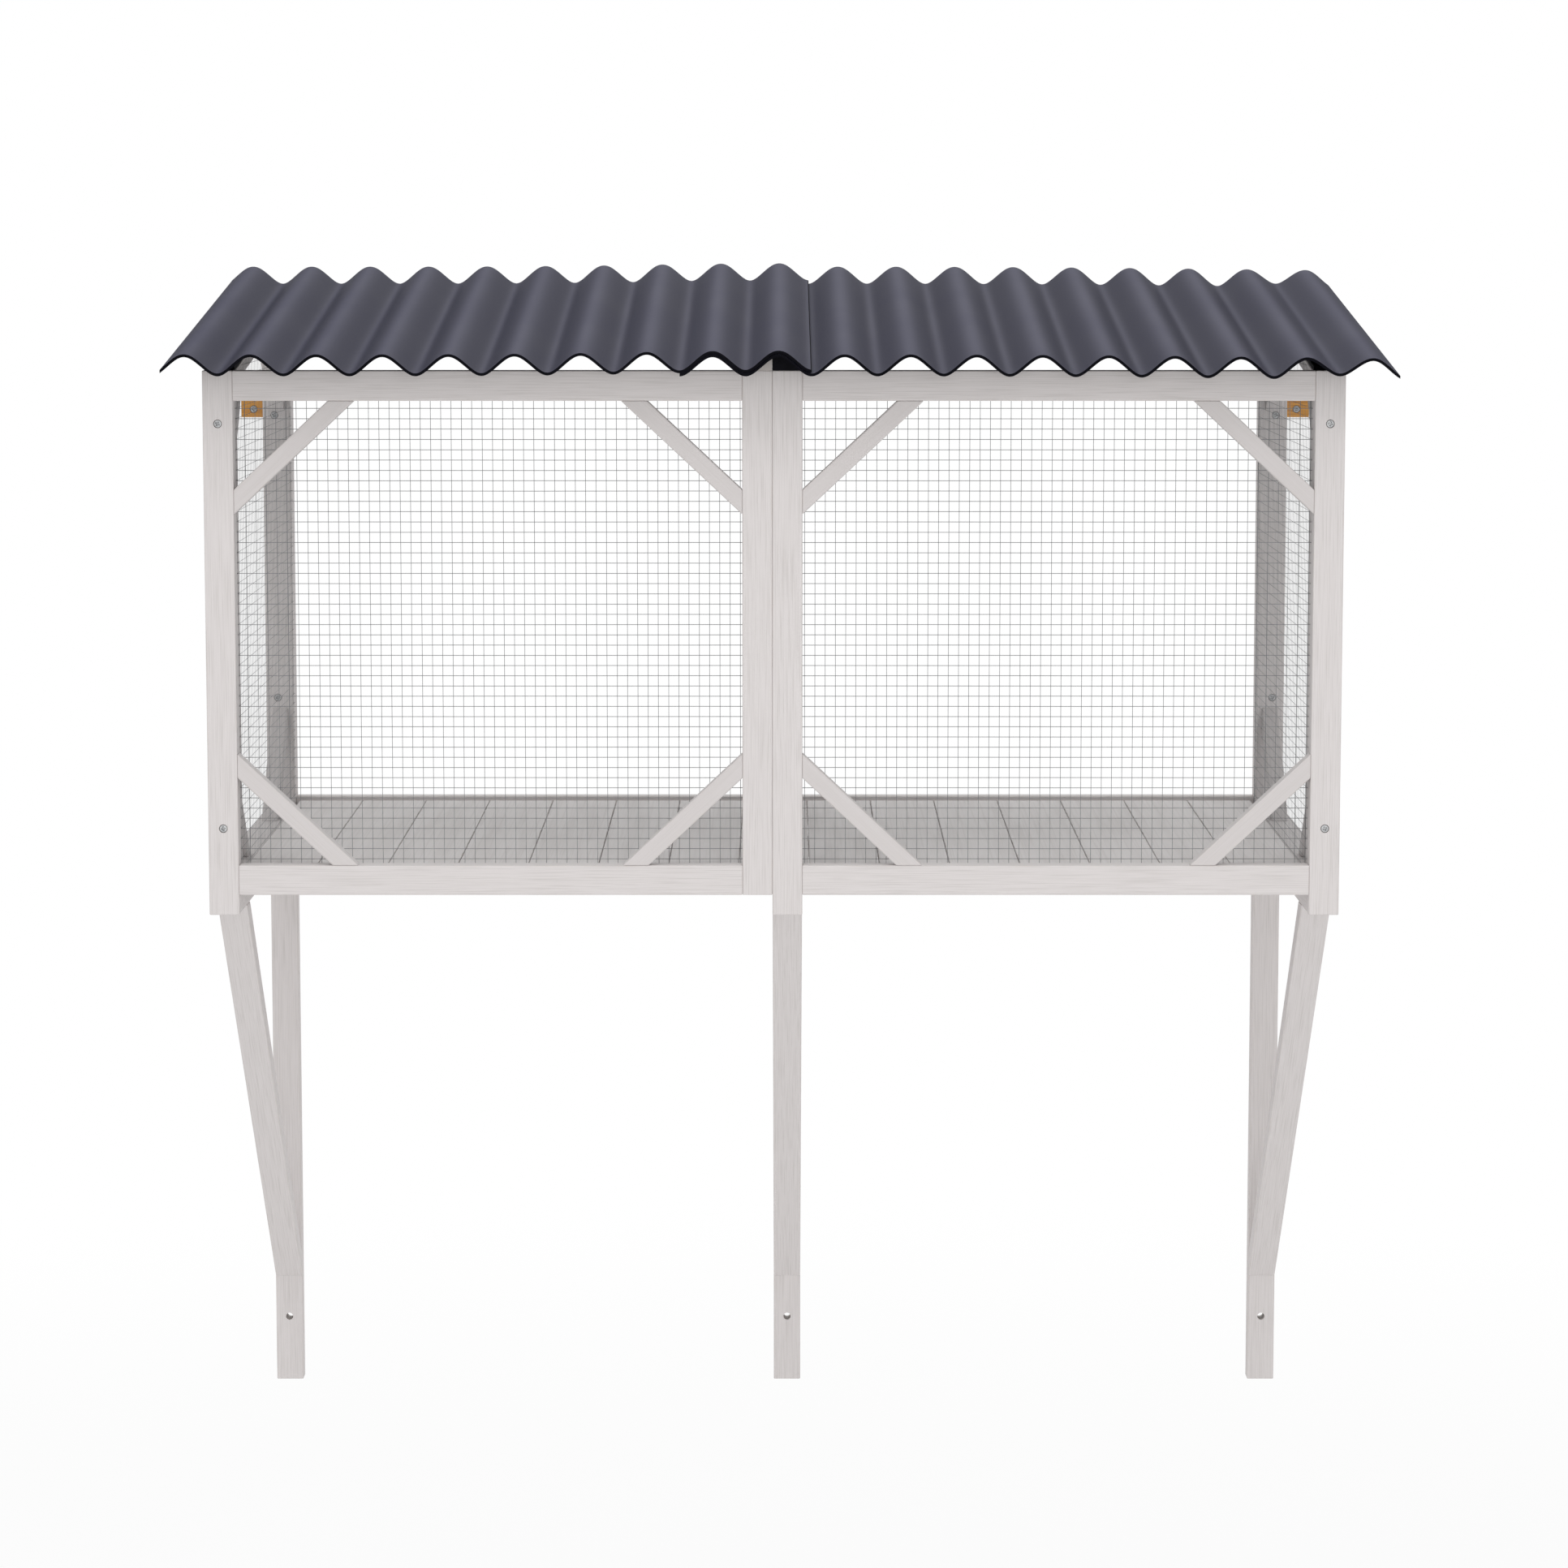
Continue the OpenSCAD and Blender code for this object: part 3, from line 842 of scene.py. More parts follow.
@dataclass(frozen=True, kw_only=True)
class WoodFinish(Finish):
    """Timber with streaks along its length, worn arrises and rougher ends.

    Attributes:
        bare: Colour of the wood where the coat is worn.
        ends: Colour of the end grain.
        contrast: Share of the streak colour that shows.
        band_contrast: Share of the broad bands that shows.
        streak_width: Width of a streak in metres.
        band_width: Width of a broad band in metres.
        reach: Length of a streak in metres.
        wear: Share of the wear on the arrises.
        streak_range: Levels of the noise between which a streak comes in.
        band_range: The same for a broad band.
    """

    bare: Triple
    ends: Triple
    contrast: float
    band_contrast: float = 0.5
    streak_width: float
    band_width: float
    reach: float
    wear: float = 0.35
    streak_range: Pair = (0.46, 0.68)
    band_range: Pair = (0.4, 0.66)
    roughness: float = 0.62
    rough_spread: float = 0.12
    specular: float = 0.3
    relief: float = 0.25 * MM
    relief_share: float = 0.35

    def paint(self, graph: Graph, groups: Groups) -> tuple[bpy.types.NodeSocket, ...]:
        """Lays streaks, bands, worn arrises and ends over the light colour.

        Args:
            graph: The material's graph.
            groups: The shared effects.

        Returns:
            Its colour, its roughness and its height.
        """
        place = graph.add("ShaderNodeUVMap", uv_map=GRAIN_UV).outputs["UV"]
        widths = {"Streak Width": self.streak_width, "Band Width": self.band_width, "Reach": self.reach}
        grain = graph.effect(groups.grain, {"Vector": place, **widths})
        wear = graph.effect(groups.wear, {"Vector": place, "Amount": self.wear})
        streak = graph.math("MULTIPLY", graph.spread(grain["Streaks"], *self.streak_range), self.contrast)
        band = graph.math("MULTIPLY", graph.spread(grain["Bands"], *self.band_range), self.band_contrast)
        clear = graph.math("SUBTRACT", 1.0, streak)
        share = graph.math("ADD", streak, graph.math("MULTIPLY", band, clear), clamp=True)
        washed = graph.mix(share, linear(*self.light), linear(*self.dark))
        worn = graph.mix(wear["Worn"], washed, linear(*self.bare))
        colour = graph.mix(wear["End Grain"], worn, linear(*self.ends))
        least = self.roughness - self.rough_spread / 2
        rough = graph.math("ADD", graph.math("MULTIPLY", share, self.rough_spread), least, clamp=True)
        return colour, rough, grain["Height"]


@dataclass(frozen=True, kw_only=True)
class MottledFinish(Finish):
    """A finish with soft clouds and a fine speckle, such as a coating, zinc or the black foam of painted
    shade.

    Attributes:
        speckle: Colour of the speckle.
        speckle_share: Share of the speckle that shows.
        cloud_size: Size of a cloud in metres.
        speckle_size: Size of a speckle in metres.
        cloud_range: Levels of the noise between which a cloud turns light.
        speckle_range: Levels of the noise between which a speckle comes in.
    """

    speckle: Triple
    speckle_share: float = 0.3
    cloud_size: float = 90 * MM
    speckle_size: float = 2.2 * MM
    cloud_range: Pair = (0.35, 0.65)
    speckle_range: Pair = (0.5, 0.72)

    def tinted(
        self, graph: Graph, groups: Groups, place: bpy.types.NodeSocket, base: bpy.types.NodeSocket
    ) -> bpy.types.NodeSocket:
        """Returns the colour under the speckle; a plain finish keeps it as it is."""
        return base

    def paint(self, graph: Graph, groups: Groups) -> tuple[bpy.types.NodeSocket, ...]:
        """Lays the speckle over the clouds.

        Args:
            graph: The material's graph.
            groups: The shared effects.

        Returns:
            Its colour, its roughness and its height.
        """
        place = graph.add("ShaderNodeTexCoord").outputs["Object"]
        sizes = {"Cloud Size": self.cloud_size, "Speckle Size": self.speckle_size}
        mottle = graph.effect(groups.mottle, {"Vector": place, **sizes})
        clouds = graph.spread(mottle["Clouds"], *self.cloud_range)
        specks = graph.spread(mottle["Speckle"], *self.speckle_range)
        base = graph.mix(clouds, linear(*self.dark), linear(*self.light))
        base = self.tinted(graph, groups, place, base)
        colour = graph.mix(graph.math("MULTIPLY", specks, self.speckle_share), base, linear(*self.speckle))
        uneven = graph.math("MULTIPLY", clouds, self.rough_spread)
        return colour, graph.math("ADD", uneven, self.roughness, clamp=True), mottle["Height"]


@dataclass(frozen=True, kw_only=True)
class SheetFinish(MottledFinish):
    """A coat on a corrugated sheet, with a painted highlight where the sheet lies level, as a light from
    above would give.

    Attributes:
        painted_highlight: Colour of the painted highlight.
        trough_share: Share of it that shows in the troughs.
    """

    painted_highlight: Triple
    trough_share: float

    def tinted(
        self, graph: Graph, groups: Groups, place: bpy.types.NodeSocket, base: bpy.types.NodeSocket
    ) -> bpy.types.NodeSocket:
        """Lays the painted highlight over the base colour.

        Args:
            graph: The material's graph.
            groups: The shared effects.
            place: Where on the sheet the colour is asked for.
            base: The colour under the painted highlight.

        Returns:
            The colour with the painted highlight.
        """
        # Painted highlight: crests and troughs turn to a lighter colour, as a light from above would light
        # them.
        painted_highlight = graph.effect(groups.painted_highlight, {"Vector": place})
        troughs = graph.math("MULTIPLY", painted_highlight["Troughs"], self.trough_share)
        share = graph.math("ADD", painted_highlight["Crests"], troughs, clamp=True)
        return graph.mix(share, base, linear(*self.painted_highlight))


WASHED_FRAME = WoodFinish(
    name="washed_frame_timber",
    light=(215, 210, 209),
    dark=(200, 195, 193),
    bare=(208, 201, 196),
    ends=(195, 189, 185),
    contrast=0.95,
    band_contrast=0.15,
    streak_width=1.1 * MM,
    band_width=6 * MM,
    reach=80 * MM,
)
WASHED_BRACE = WoodFinish(
    name="washed_brace_timber",
    light=(207, 202, 201),
    dark=(200, 195, 193),
    bare=(204, 197, 192),
    ends=(194, 188, 184),
    contrast=0.5,
    band_contrast=0.25,
    streak_width=1.6 * MM,
    band_width=9 * MM,
    reach=120 * MM,
)
WASHED_BOARD = WoodFinish(
    name="washed_floor_board",
    light=(211, 207, 206),
    dark=(194, 189, 187),
    bare=(150, 140, 132),
    ends=(190, 183, 178),
    contrast=0.4,
    band_contrast=0.3,
    streak_width=3 * MM,
    band_width=24 * MM,
    reach=300 * MM,
    wear=0.5,
)
NATURAL_CLEAT = WoodFinish(
    name="natural_softwood",
    light=(224, 160, 62),
    dark=(194, 128, 40),
    bare=(228, 174, 88),
    ends=(178, 116, 44),
    contrast=0.9,
    streak_width=2.6 * MM,
    band_width=9 * MM,
    reach=120 * MM,
    roughness=0.5,
)
# Painted highlight: the roof coat turns lighter on its crests and in its troughs, as a light from above would
# make it.
ROOF_COAT = SheetFinish(
    name="slate_roof_coat",
    light=(53, 53, 68),
    dark=(50, 50, 65),
    speckle=(69, 69, 84),
    painted_highlight=(70, 70, 86),
    trough_share=0.75,
    cloud_size=200 * MM,
    speckle_size=1.6 * MM,
    roughness=0.6,
    rough_spread=0.03,
    specular=0.03,
    relief=0.06 * MM,
)
ROOF_BODY = MottledFinish(
    name="bitumen_roof_body",
    light=(17, 17, 22),
    dark=(11, 11, 15),
    speckle=(26, 26, 31),
    roughness=0.85,
    specular=0.03,
    relief=0.2 * MM,
)
WIRE_ZINC = MottledFinish(
    name="galvanised_wire_zinc",
    light=(132, 133, 135),
    dark=(118, 119, 121),
    speckle=(150, 151, 153),
    cloud_size=50 * MM,
    speckle_size=1.5 * MM,
    roughness=0.55,
    metallic=0.2,
    relief=0.02 * MM,
)
SCREW_ZINC = MottledFinish(
    name="bright_screw_zinc",
    light=(192, 193, 193),
    dark=(168, 169, 171),
    speckle=(204, 204, 204),
    cloud_size=4 * MM,
    speckle_size=0.5 * MM,
    roughness=0.42,
    metallic=0.5,
    relief=0.02 * MM,
)
# Painted shade: black foam on the rafters' tops and at the eave, where the roof sheets cast shade.
FOAM = MottledFinish(
    name="closed_cell_foam",
    light=(22, 22, 26),
    dark=(13, 13, 16),
    speckle=(34, 34, 38),
    cloud_size=20 * MM,
    speckle_size=1.2 * MM,
    roughness=0.85,
    specular=0.1,
    relief=0.3 * MM,
)


class Palette:
    """The built materials.

    Attributes:
        frame: Washed timber of the frame.
        brace: Smoother washed timber of the braces.
        board: Washed floor boards.
        cleat: Bare softwood.
        coat: Coloured top of the roof sheets, with a painted highlight on the crests and in the troughs.
        body: Black body of the roof sheets.
        wire: Zinc of the mesh.
        zinc: Zinc of the screws.
        shade_foam: Black foam, painted shade under the roof sheets.
    """

    def __init__(self) -> None:
        """Builds the shared effects and then every material."""
        groups = Groups(grain_group(), mottle_group(), wear_group(), painted_highlight_group())
        self.frame = WASHED_FRAME.build(groups)
        self.brace = WASHED_BRACE.build(groups)
        self.board = WASHED_BOARD.build(groups)
        self.cleat = NATURAL_CLEAT.build(groups)
        self.coat = ROOF_COAT.build(groups)
        self.body = ROOF_BODY.build(groups)
        self.wire = WIRE_ZINC.build(groups)
        self.zinc = SCREW_ZINC.build(groups)
        self.shade_foam = FOAM.build(groups)


# Sub-assemblies


@dataclass(frozen=True)
class RoofLine:
    """The pitch of the roof and the waves of its sheets.

    Attributes:
        post_rise: Rise of the wall posts' tops above the rafters' lowest point over the front frame.
        post_run: Distance from the front face to the wall posts.
        stock: Thickness of a rafter with its black strip of painted shade.
        shade_strip: Thickness of the black strip on a rafter's top, painted shade under the roof sheet.
        pitch: Distance between two crests.
        height: Height of the waves.
        second: Second harmonic, which makes crests full and troughs tight.
        third: Third harmonic.
        trough: Place of one trough along X, where the left sheet ends.
        sheet: Thickness of a sheet, square to its waves.
        seat: Gap between a sheet and what carries it.
        lap_start: Place where the right sheet starts.
        climb: Length over which the left sheet climbs onto the right one.
        lap_rise: Further rise of the left sheet across the lap.
        sag: Sag of the right sheet at its outer crest.
        sag_start: Place where the sag starts.
        sag_end: Place of the outer crest.
        resting: Place of the trough that rests on the right rail.
    """

    post_rise: float = 62.3 * MM
    post_run: float = 700 * MM
    stock: float = 25 * MM
    shade_strip: float = 7 * MM
    pitch: float = 80 * MM
    height: float = 23.4 * MM
    second: float = 0.05 * MM
    third: float = 0.15 * MM
    trough: float = 45.8 * MM
    sheet: float = 3.5 * MM
    seat: float = 0.3 * MM
    lap_start: float = -114.2 * MM
    climb: float = 476 * MM
    lap_rise: float = 1 * MM
    sag: float = 4.7 * MM
    sag_start: float = 85.8 * MM
    sag_end: float = 719 * MM
    resting: float = 685.8 * MM

    @property
    def slope(self) -> float:
        """Rise of a rafter for each metre: it passes over the front frame and rests on a wall post."""
        lean = math.atan2(self.post_rise, self.post_run)
        return math.tan(lean + math.asin(self.stock / math.hypot(self.post_rise, self.post_run)))

    def wave(self, x: np.ndarray) -> np.ndarray:
        """Works out the height of the wave: three harmonics whose troughs lie at zero.

        Args:
            x: Places across the sheet.

        Returns:
            The height at each place.
        """
        turn = 2 * np.pi * (x - self.trough) / self.pitch
        return (
            (self.height / 2 - self.third) * (1 - np.cos(turn))
            + self.second * (1 - np.cos(2 * turn))
            + self.third * (1 - np.cos(3 * turn))
        )

    def left_lift(self, x: np.ndarray) -> np.ndarray:
        """Works out the rise of the left sheet: the cube of its share of the climb, then a steady rise.

        Args:
            x: Places across the sheet.

        Returns:
            The rise at each place.
        """
        t = np.clip((x - self.lap_start) / self.climb + 1, 0, 1)
        lap = np.clip((x - self.lap_start) / (self.trough - self.lap_start), 0, 1)
        return (self.sheet + self.seat) * t**3 + self.lap_rise * lap

    def droop(self, x: np.ndarray | float) -> np.ndarray:
        """Share of the sag: the square of the share of the way from the lap to the outer crest."""
        return np.clip((x - self.sag_start) / (self.sag_end - self.sag_start), 0, 1) ** 2

    def right_lift(self, x: np.ndarray) -> np.ndarray:
        """Returns the fall of the right sheet: its sag, taken back by a cosine round the resting trough."""
        rest = (1 + np.cos(np.pi * np.minimum(1, 2 * abs(x - self.resting) / self.pitch))) / 2
        return self.sag * (self.droop(self.resting) * rest - self.droop(x))

    def thickness(self, x: np.ndarray, height: np.ndarray, covered_to: float) -> np.ndarray:
        """Works out how thick a sheet is, measured plumb.

        The sheet's own thickness is multiplied by the root of one plus its grade squared. Where the
        other sheet covers it, it is left plain, so that the two can nest.

        Args:
            x: Places across the sheet.
            height: Height of its underside there.
            covered_to: Place up to which it is covered.

        Returns:
            The thickness at each place.
        """
        return self.sheet * np.where(x < covered_to, 1.0, np.hypot(1, np.gradient(height, x)))

    def rafter(self, node: str) -> Surface:
        """Builds a rafter with plumb ends, whose upper part is a black strip of painted shade under the roof
        sheet.

        Args:
            node: The solid that it replaces.

        Returns:
            The rafter's surface, with the painted-shade strip in the second material.
        """
        low, high = node_box(node)
        tall, shade_height = (size * math.hypot(1, self.slope) for size in (self.stock, self.shade_strip))
        start, end = low[2] + tall - shade_height, high[2] - shade_height
        timber = [(low[1], low[2]), (high[1], high[2] - tall), (high[1], end), (low[1], start)]
        shade_strip = [(low[1], start), (high[1], end), (high[1], high[2]), (low[1], low[2] + tall)]
        parts = [cut_plank(node, outline) for outline in (timber, shade_strip)]
        # The upper strip takes the second material, black foam: painted shade where the roof sheet shades the
        # rafter's top.
        parts[1].slot[:] = 1
        return Surface.joined(parts)


def inner_share(width: float, run: float, rise: float) -> float:
    """Returns where a brace's inner edge meets the timbers, as a share of its outer edge's reach."""
    return 1 - width * math.hypot(run, rise) / (run * rise)


@dataclass
class FrontFrame:
    """The front frame: corner posts, centre stiles, rails and corner braces.

    Attributes:
        palette: The materials.
        posts: Corner posts, which have screws.
        plain: Stiles and rails.
        brace_width: Width of a brace, square to its length.
    """

    palette: Palette
    posts: tuple[str, ...] = ("front_left_post", "front_right_post")
    plain: tuple[str, ...] = (
        "front_centre_left_stile",
        "front_centre_right_stile",
        "front_left_top_rail",
        "front_right_top_rail",
        "front_left_bottom_rail",
        "front_right_bottom_rail",
    )
    brace_width: float = 22 * MM

    def brace(self, node: str, up: int, right: int) -> Surface:
        """Builds a corner brace.

        Args:
            node: The solid that it replaces.
            up: 1 where the brace rises from a bottom corner, -1 where it hangs from a top one.
            right: 1 where its corner lies on the left, -1 where it lies on the right.

        Returns:
            The brace's surface.
        """
        low, high = node_box(node)
        run, rise = high[0] - low[0], high[2] - low[2]
        inner = inner_share(self.brace_width, run, rise)
        x = low[0] if right > 0 else high[0]
        z = low[2] if up > 0 else high[2]
        run, rise = right * run, up * rise
        outline = [(x + run, z), (x, z + rise), (x, z + rise * inner), (x + run * inner, z)]
        return cut_plank(node, outline, Along.Y)

    def build(self) -> None:
        """Builds every timber of the front frame."""
        for node in self.posts:
            holes = Fixings.seats("front_screws", node)
            settle_timber(box_plank(node), node, self.palette.frame, holes=holes)
        for node in self.plain:
            settle_timber(box_plank(node), node, self.palette.frame)
        for panel in SIDES:
            for level, up in (("top", -1), ("bottom", 1)):
                for end, right in ((Place.LEFT, 1), (Place.RIGHT, -1)):
                    node = f"{panel.value}_panel_brace_{level}_{end.value}"
                    settle_timber(self.brace(node, up, right), node, self.palette.brace)


@dataclass
class SidePanel:
    """One side panel: stiles with sloping tops, a sloping rail, a bottom rail and four braces.

    Attributes:
        side: Which panel it is.
        palette: The materials.
        roof: The pitch of the roof.
        brace_run: Reach of a brace along a rail.
        brace_rise: Reach of a brace along a stile.
        brace_width: Width of a brace, square to its length.
    """

    side: Place
    palette: Palette
    roof: RoofLine = RoofLine()
    brace_run: float = 148.5 * MM
    brace_rise: float = 139 * MM
    brace_width: float = 22 * MM

    def node(self, part: str) -> str:
        """Returns the name of the solid of one part of this panel."""
        return f"{self.side.value}_side_{part}"

    def stile(self, node: str) -> Surface:
        """Builds a stile, whose top follows the rafter above it.

        Args:
            node: The solid that it replaces.

        Returns:
            The stile's surface.
        """
        low, high = node_box(node)
        front = high[2] - self.roof.slope * (high[1] - low[1])
        return cut_plank(node, [(low[1], low[2]), (low[1], front), (high[1], high[2]), (high[1], low[2])])

    def braces(self, node: str) -> Surface:
        """Builds the four braces; the upper two are sheared along the sloping rail.

        Args:
            node: The solid that they replace.

        Returns:
            The braces' surface.
        """
        low, high = node_box(node)
        run, rise = self.brace_run, self.brace_rise
        inner = inner_share(self.brace_width, run, rise)
        parts = []
        for corner, ahead in ((low[1], 1), (high[1], -1)):
            fall = [0.0, rise, rise * inner, 0.0]
            y = [corner + ahead * value for value in (run, 0.0, 0.0, run * inner)]
            parts.append([(a, low[2] + b) for a, b in zip(y, fall)])
            under = [high[2] + self.roof.slope * (run * inner - (high[1] - a)) for a in y]
            parts.append([(a, top - b) for a, top, b in zip(y, under, fall)])
        return Surface.joined(cut_plank(node, outline) for outline in parts)

    def build(self) -> None:
        """Builds every timber of the panel."""
        frame_wood, shade_foam = self.palette.frame, self.palette.shade_foam
        node = self.node("front_stile")
        settle_timber(self.stile(node), node, frame_wood)
        node = self.node("rear_stile")
        holes = Fixings.seats("rear_screws", node) + Fixings.bolts(node)
        settle_timber(self.stile(node), node, frame_wood, holes=holes)
        node = self.node("bottom_rail")
        settle_timber(box_plank(node), node, frame_wood)
        node = self.node("top_rail")
        # The side rafter's black top strip is painted shade under the roof sheet.
        settle_timber(self.roof.rafter(node), node, frame_wood, shade_foam)
        node = self.node("braces")
        settle_timber(self.braces(node), node, self.palette.brace)


@dataclass
class WallBracket:
    """A wall post, its bearer and the strut between them.

    Attributes:
        place: Which bracket it is.
        palette: The materials.
        stock: Thickness of the timber.
    """

    place: Place
    palette: Palette
    stock: float = 25 * MM

    def strut(self, node: str) -> Surface:
        """Builds the strut, cut level under the bearer and plumb on the wall post.

        Args:
            node: The solid that it replaces.

        Returns:
            The strut's surface.
        """
        low, high = node_box(node)
        angle = math.atan2(high[2] - low[2], high[1] - low[1])
        level, plumb = self.stock / math.sin(angle), self.stock / math.cos(angle)
        ends = [(high[1], low[2]), (low[1], high[2])]
        return cut_plank(node, [*ends, (low[1] + level, high[2]), (high[1], low[2] + plumb)])

    def build(self) -> None:
        """Builds the three timbers of the bracket."""
        post, bearer, strut = (f"{self.place.value}_{part}" for part in ("wall_post", "bearer", "strut"))
        settle_timber(box_plank(post), post, self.palette.frame, holes=Fixings.bolts(post))
        settle_timber(box_plank(bearer), bearer, self.palette.frame)
        settle_timber(self.strut(strut), strut, self.palette.frame)


@dataclass
class BackAndFloor:
    """The rails between the wall posts, the ledgers and the floor boards.

    Attributes:
        palette: The materials.
        boards: Number of floor boards.
        gap: Gap between two boards.
        arris: Radius of the rounded edges of a board.
        rails: Rails and ledgers.
    """

    palette: Palette
    boards: int = 15
    gap: float = 0.6 * MM
    arris: float = 1.2 * MM
    rails: tuple[str, ...] = (
        "back_sill_left",
        "back_sill_right",
        "back_top_rail_left",
        "back_top_rail_right",
        "floor_ledger_front",
        "floor_ledger_middle",
        "floor_ledger_back",
    )

    def floor(self, node: str) -> Surface:
        """Builds the boards side by side; each is a plank with its grain from front to back.

        Args:
            node: The solid that they replace.

        Returns:
            The boards' surface.
        """
        low, high = node_box(node)
        pitch = (high[0] - low[0] + self.gap) / self.boards
        parts = []
        for number in range(self.boards):
            start = np.array([low[0] + number * pitch, low[1], low[2]])
            end = np.array([start[0] + pitch - self.gap, high[1], high[2]])
            parts.append(upright_plank((start, end), Along.Y, Along.X, self.arris))
        return Surface.joined(parts)

    def build(self) -> None:
        """Builds the rails and the floor."""
        for node in self.rails:
            settle_timber(box_plank(node), node, self.palette.frame)
        node = "floor_boards"
        settle(self.floor(node).to_object("boards_floor"), Coat.FLOOR, node, self.palette.board)


@dataclass
class Roof:
    """The two corrugated sheets and what carries them along the seam.

    Attributes:
        palette: The materials.
        line: The pitch and the waves.
        wave_steps: Steps in which one wave is drawn.
        rows: Steps from the eave to the wall.
        broken: Width of the broken edge along the sides of a sheet, which shows the black body, partly as
            painted shade where the sheets lap.
        smooth_below: Angle in degrees under which a sheet's edges are shaded smooth.
        block_steps: Steps in which a block's top is drawn.
        block_edge: Depth of a block's chamfer.
        block_chamfer: Share by which its ends are drawn in.
    """

    palette: Palette
    line: RoofLine = RoofLine()
    wave_steps: int = 32
    rows: int = 12
    broken: float = 1.1 * MM
    smooth_below: float = 40
    block_steps: int = 24
    block_edge: float = 0.4 * MM
    block_chamfer: float = 0.02

    def sheet(self, node: str, side: Place) -> Surface:
        """Builds a corrugated sheet.

        A point at x across and s up the slope lies at the wave's height plus the sheet's lift
        above the rafters, square to the slope. The top face gets the coat, and the underside
        and the cut edges the black body. Along both sides the top is broken over a narrow band,
        which shows the black body too: partly the cut edge, and partly painted shade where the sheets lap.

        Args:
            node: The solid that it replaces.
            side: Which sheet it is.

        Returns:
            The sheet's surface.
        """
        low, high = node_box(node)
        line = self.line
        columns = int(round((high[0] - low[0]) / line.pitch * self.wave_steps)) + 3
        inner = np.linspace(low[0] + self.broken, high[0] - self.broken, columns - 2)
        x = np.concatenate([low[:1], inner, high[:1]])
        lift = line.left_lift(x) if side is Place.LEFT else line.right_lift(x)
        height = line.wave(x) + lift
        thick = line.thickness(x, height, line.trough if side is Place.RIGHT else low[0])
        thick[[0, -1]] -= self.broken / 2
        up = np.array([0.0, 1.0, line.slope]) / math.hypot(1, line.slope)
        out = np.array([0.0, -line.slope, 1.0]) / math.hypot(1, line.slope)
        top = float((height + thick).max())
        length = (high[1] - low[1] + out[1] * (top - height.min())) / up[1]
        origin = np.array([0.0, low[1] - out[1] * top, high[2] - length * up[2] - top * out[2]])
        s = np.linspace(0, length, self.rows + 1)
        grid = origin + s[:, None, None] * up + x[None, :, None] * AXES[0]
        under = grid + height[None, :, None] * out
        over = under + thick[None, :, None] * out
        # Each ring runs along the underside and back over the top, at one place up the slope
        rings = np.concatenate([under, over[:, ::-1]], axis=1)
        around = np.concatenate([x, x[::-1], x[:1]])
        uv = np.stack(np.broadcast_arrays(around[None, :], s[:, None]), axis=-1)
        surface = ring_stack(rings[::-1], uv[::-1])
        quads = self.rows * 2 * columns
        place = np.arange(quads) % (2 * columns)
        # The outermost top faces keep the black body: partly the cut edge, partly painted shade along the
        # lap.
        coated = (place > columns) & (place < 2 * columns - 2)
        surface.slot[:] = 1
        surface.slot[:quads][coated] = 0
        return surface

    def block(self, node: str) -> Surface:
        """Builds a block on the eave whose top follows the wave above it.

        Args:
            node: The solid that it replaces.

        Returns:
            The block's surface.
        """
        low, high = node_box(node)
        x = np.linspace(low[0], high[0], self.block_steps + 1)
        wave = self.line.wave(x)
        top = high[2] - wave.max() + wave
        base = np.full_like(x, low[2])
        outline = np.stack([np.append(x, x[::-1]), np.append(base, top[::-1])], -1)
        middle = outline.mean(axis=0)
        places = np.array([low[1], low[1] + self.block_edge, high[1] - self.block_edge, high[1]])
        shares = np.array([1 - self.block_chamfer, 1.0, 1.0, 1 - self.block_chamfer])
        flat = middle + shares[:, None, None] * (outline - middle)
        y = np.broadcast_to(places[:, None], flat.shape[:2])
        rings = np.stack([flat[..., 0], y, flat[..., 1]], -1)[::-1]
        uv = np.stack([rings[..., 0], rings[..., 2]], -1)
        return ring_stack(rings, np.concatenate([uv, uv[:, :1]], axis=1))

    def build(self) -> None:
        """Builds the sheets, the centre rafter with its black strip of painted shade, and the two blocks, of
        which the black foam one is painted shade.
        """
        palette = self.palette
        for side in SIDES:
            node = f"roof_sheet_{side.value}"
            piece = self.sheet(node, side).to_object("corrugated_" + node, self.smooth_below)
            settle(piece, Coat.ROOF, node, palette.coat, palette.body)
        # The centre rafter's black top strip is painted shade under the lapped sheets.
        settle_timber(self.line.rafter("centre_rafter"), "centre_rafter", palette.frame, palette.shade_foam)
        settle_timber(self.block("eave_filler_block"), "eave_filler_block", palette.brace)
        # The eave closure is black foam: painted shade under the lapped sheets at the eave.
        shade_foam = self.block("eave_closure").to_object("foam_eave_closure")
        settle(shade_foam, Coat.FOAM, "eave_closure", palette.shade_foam)


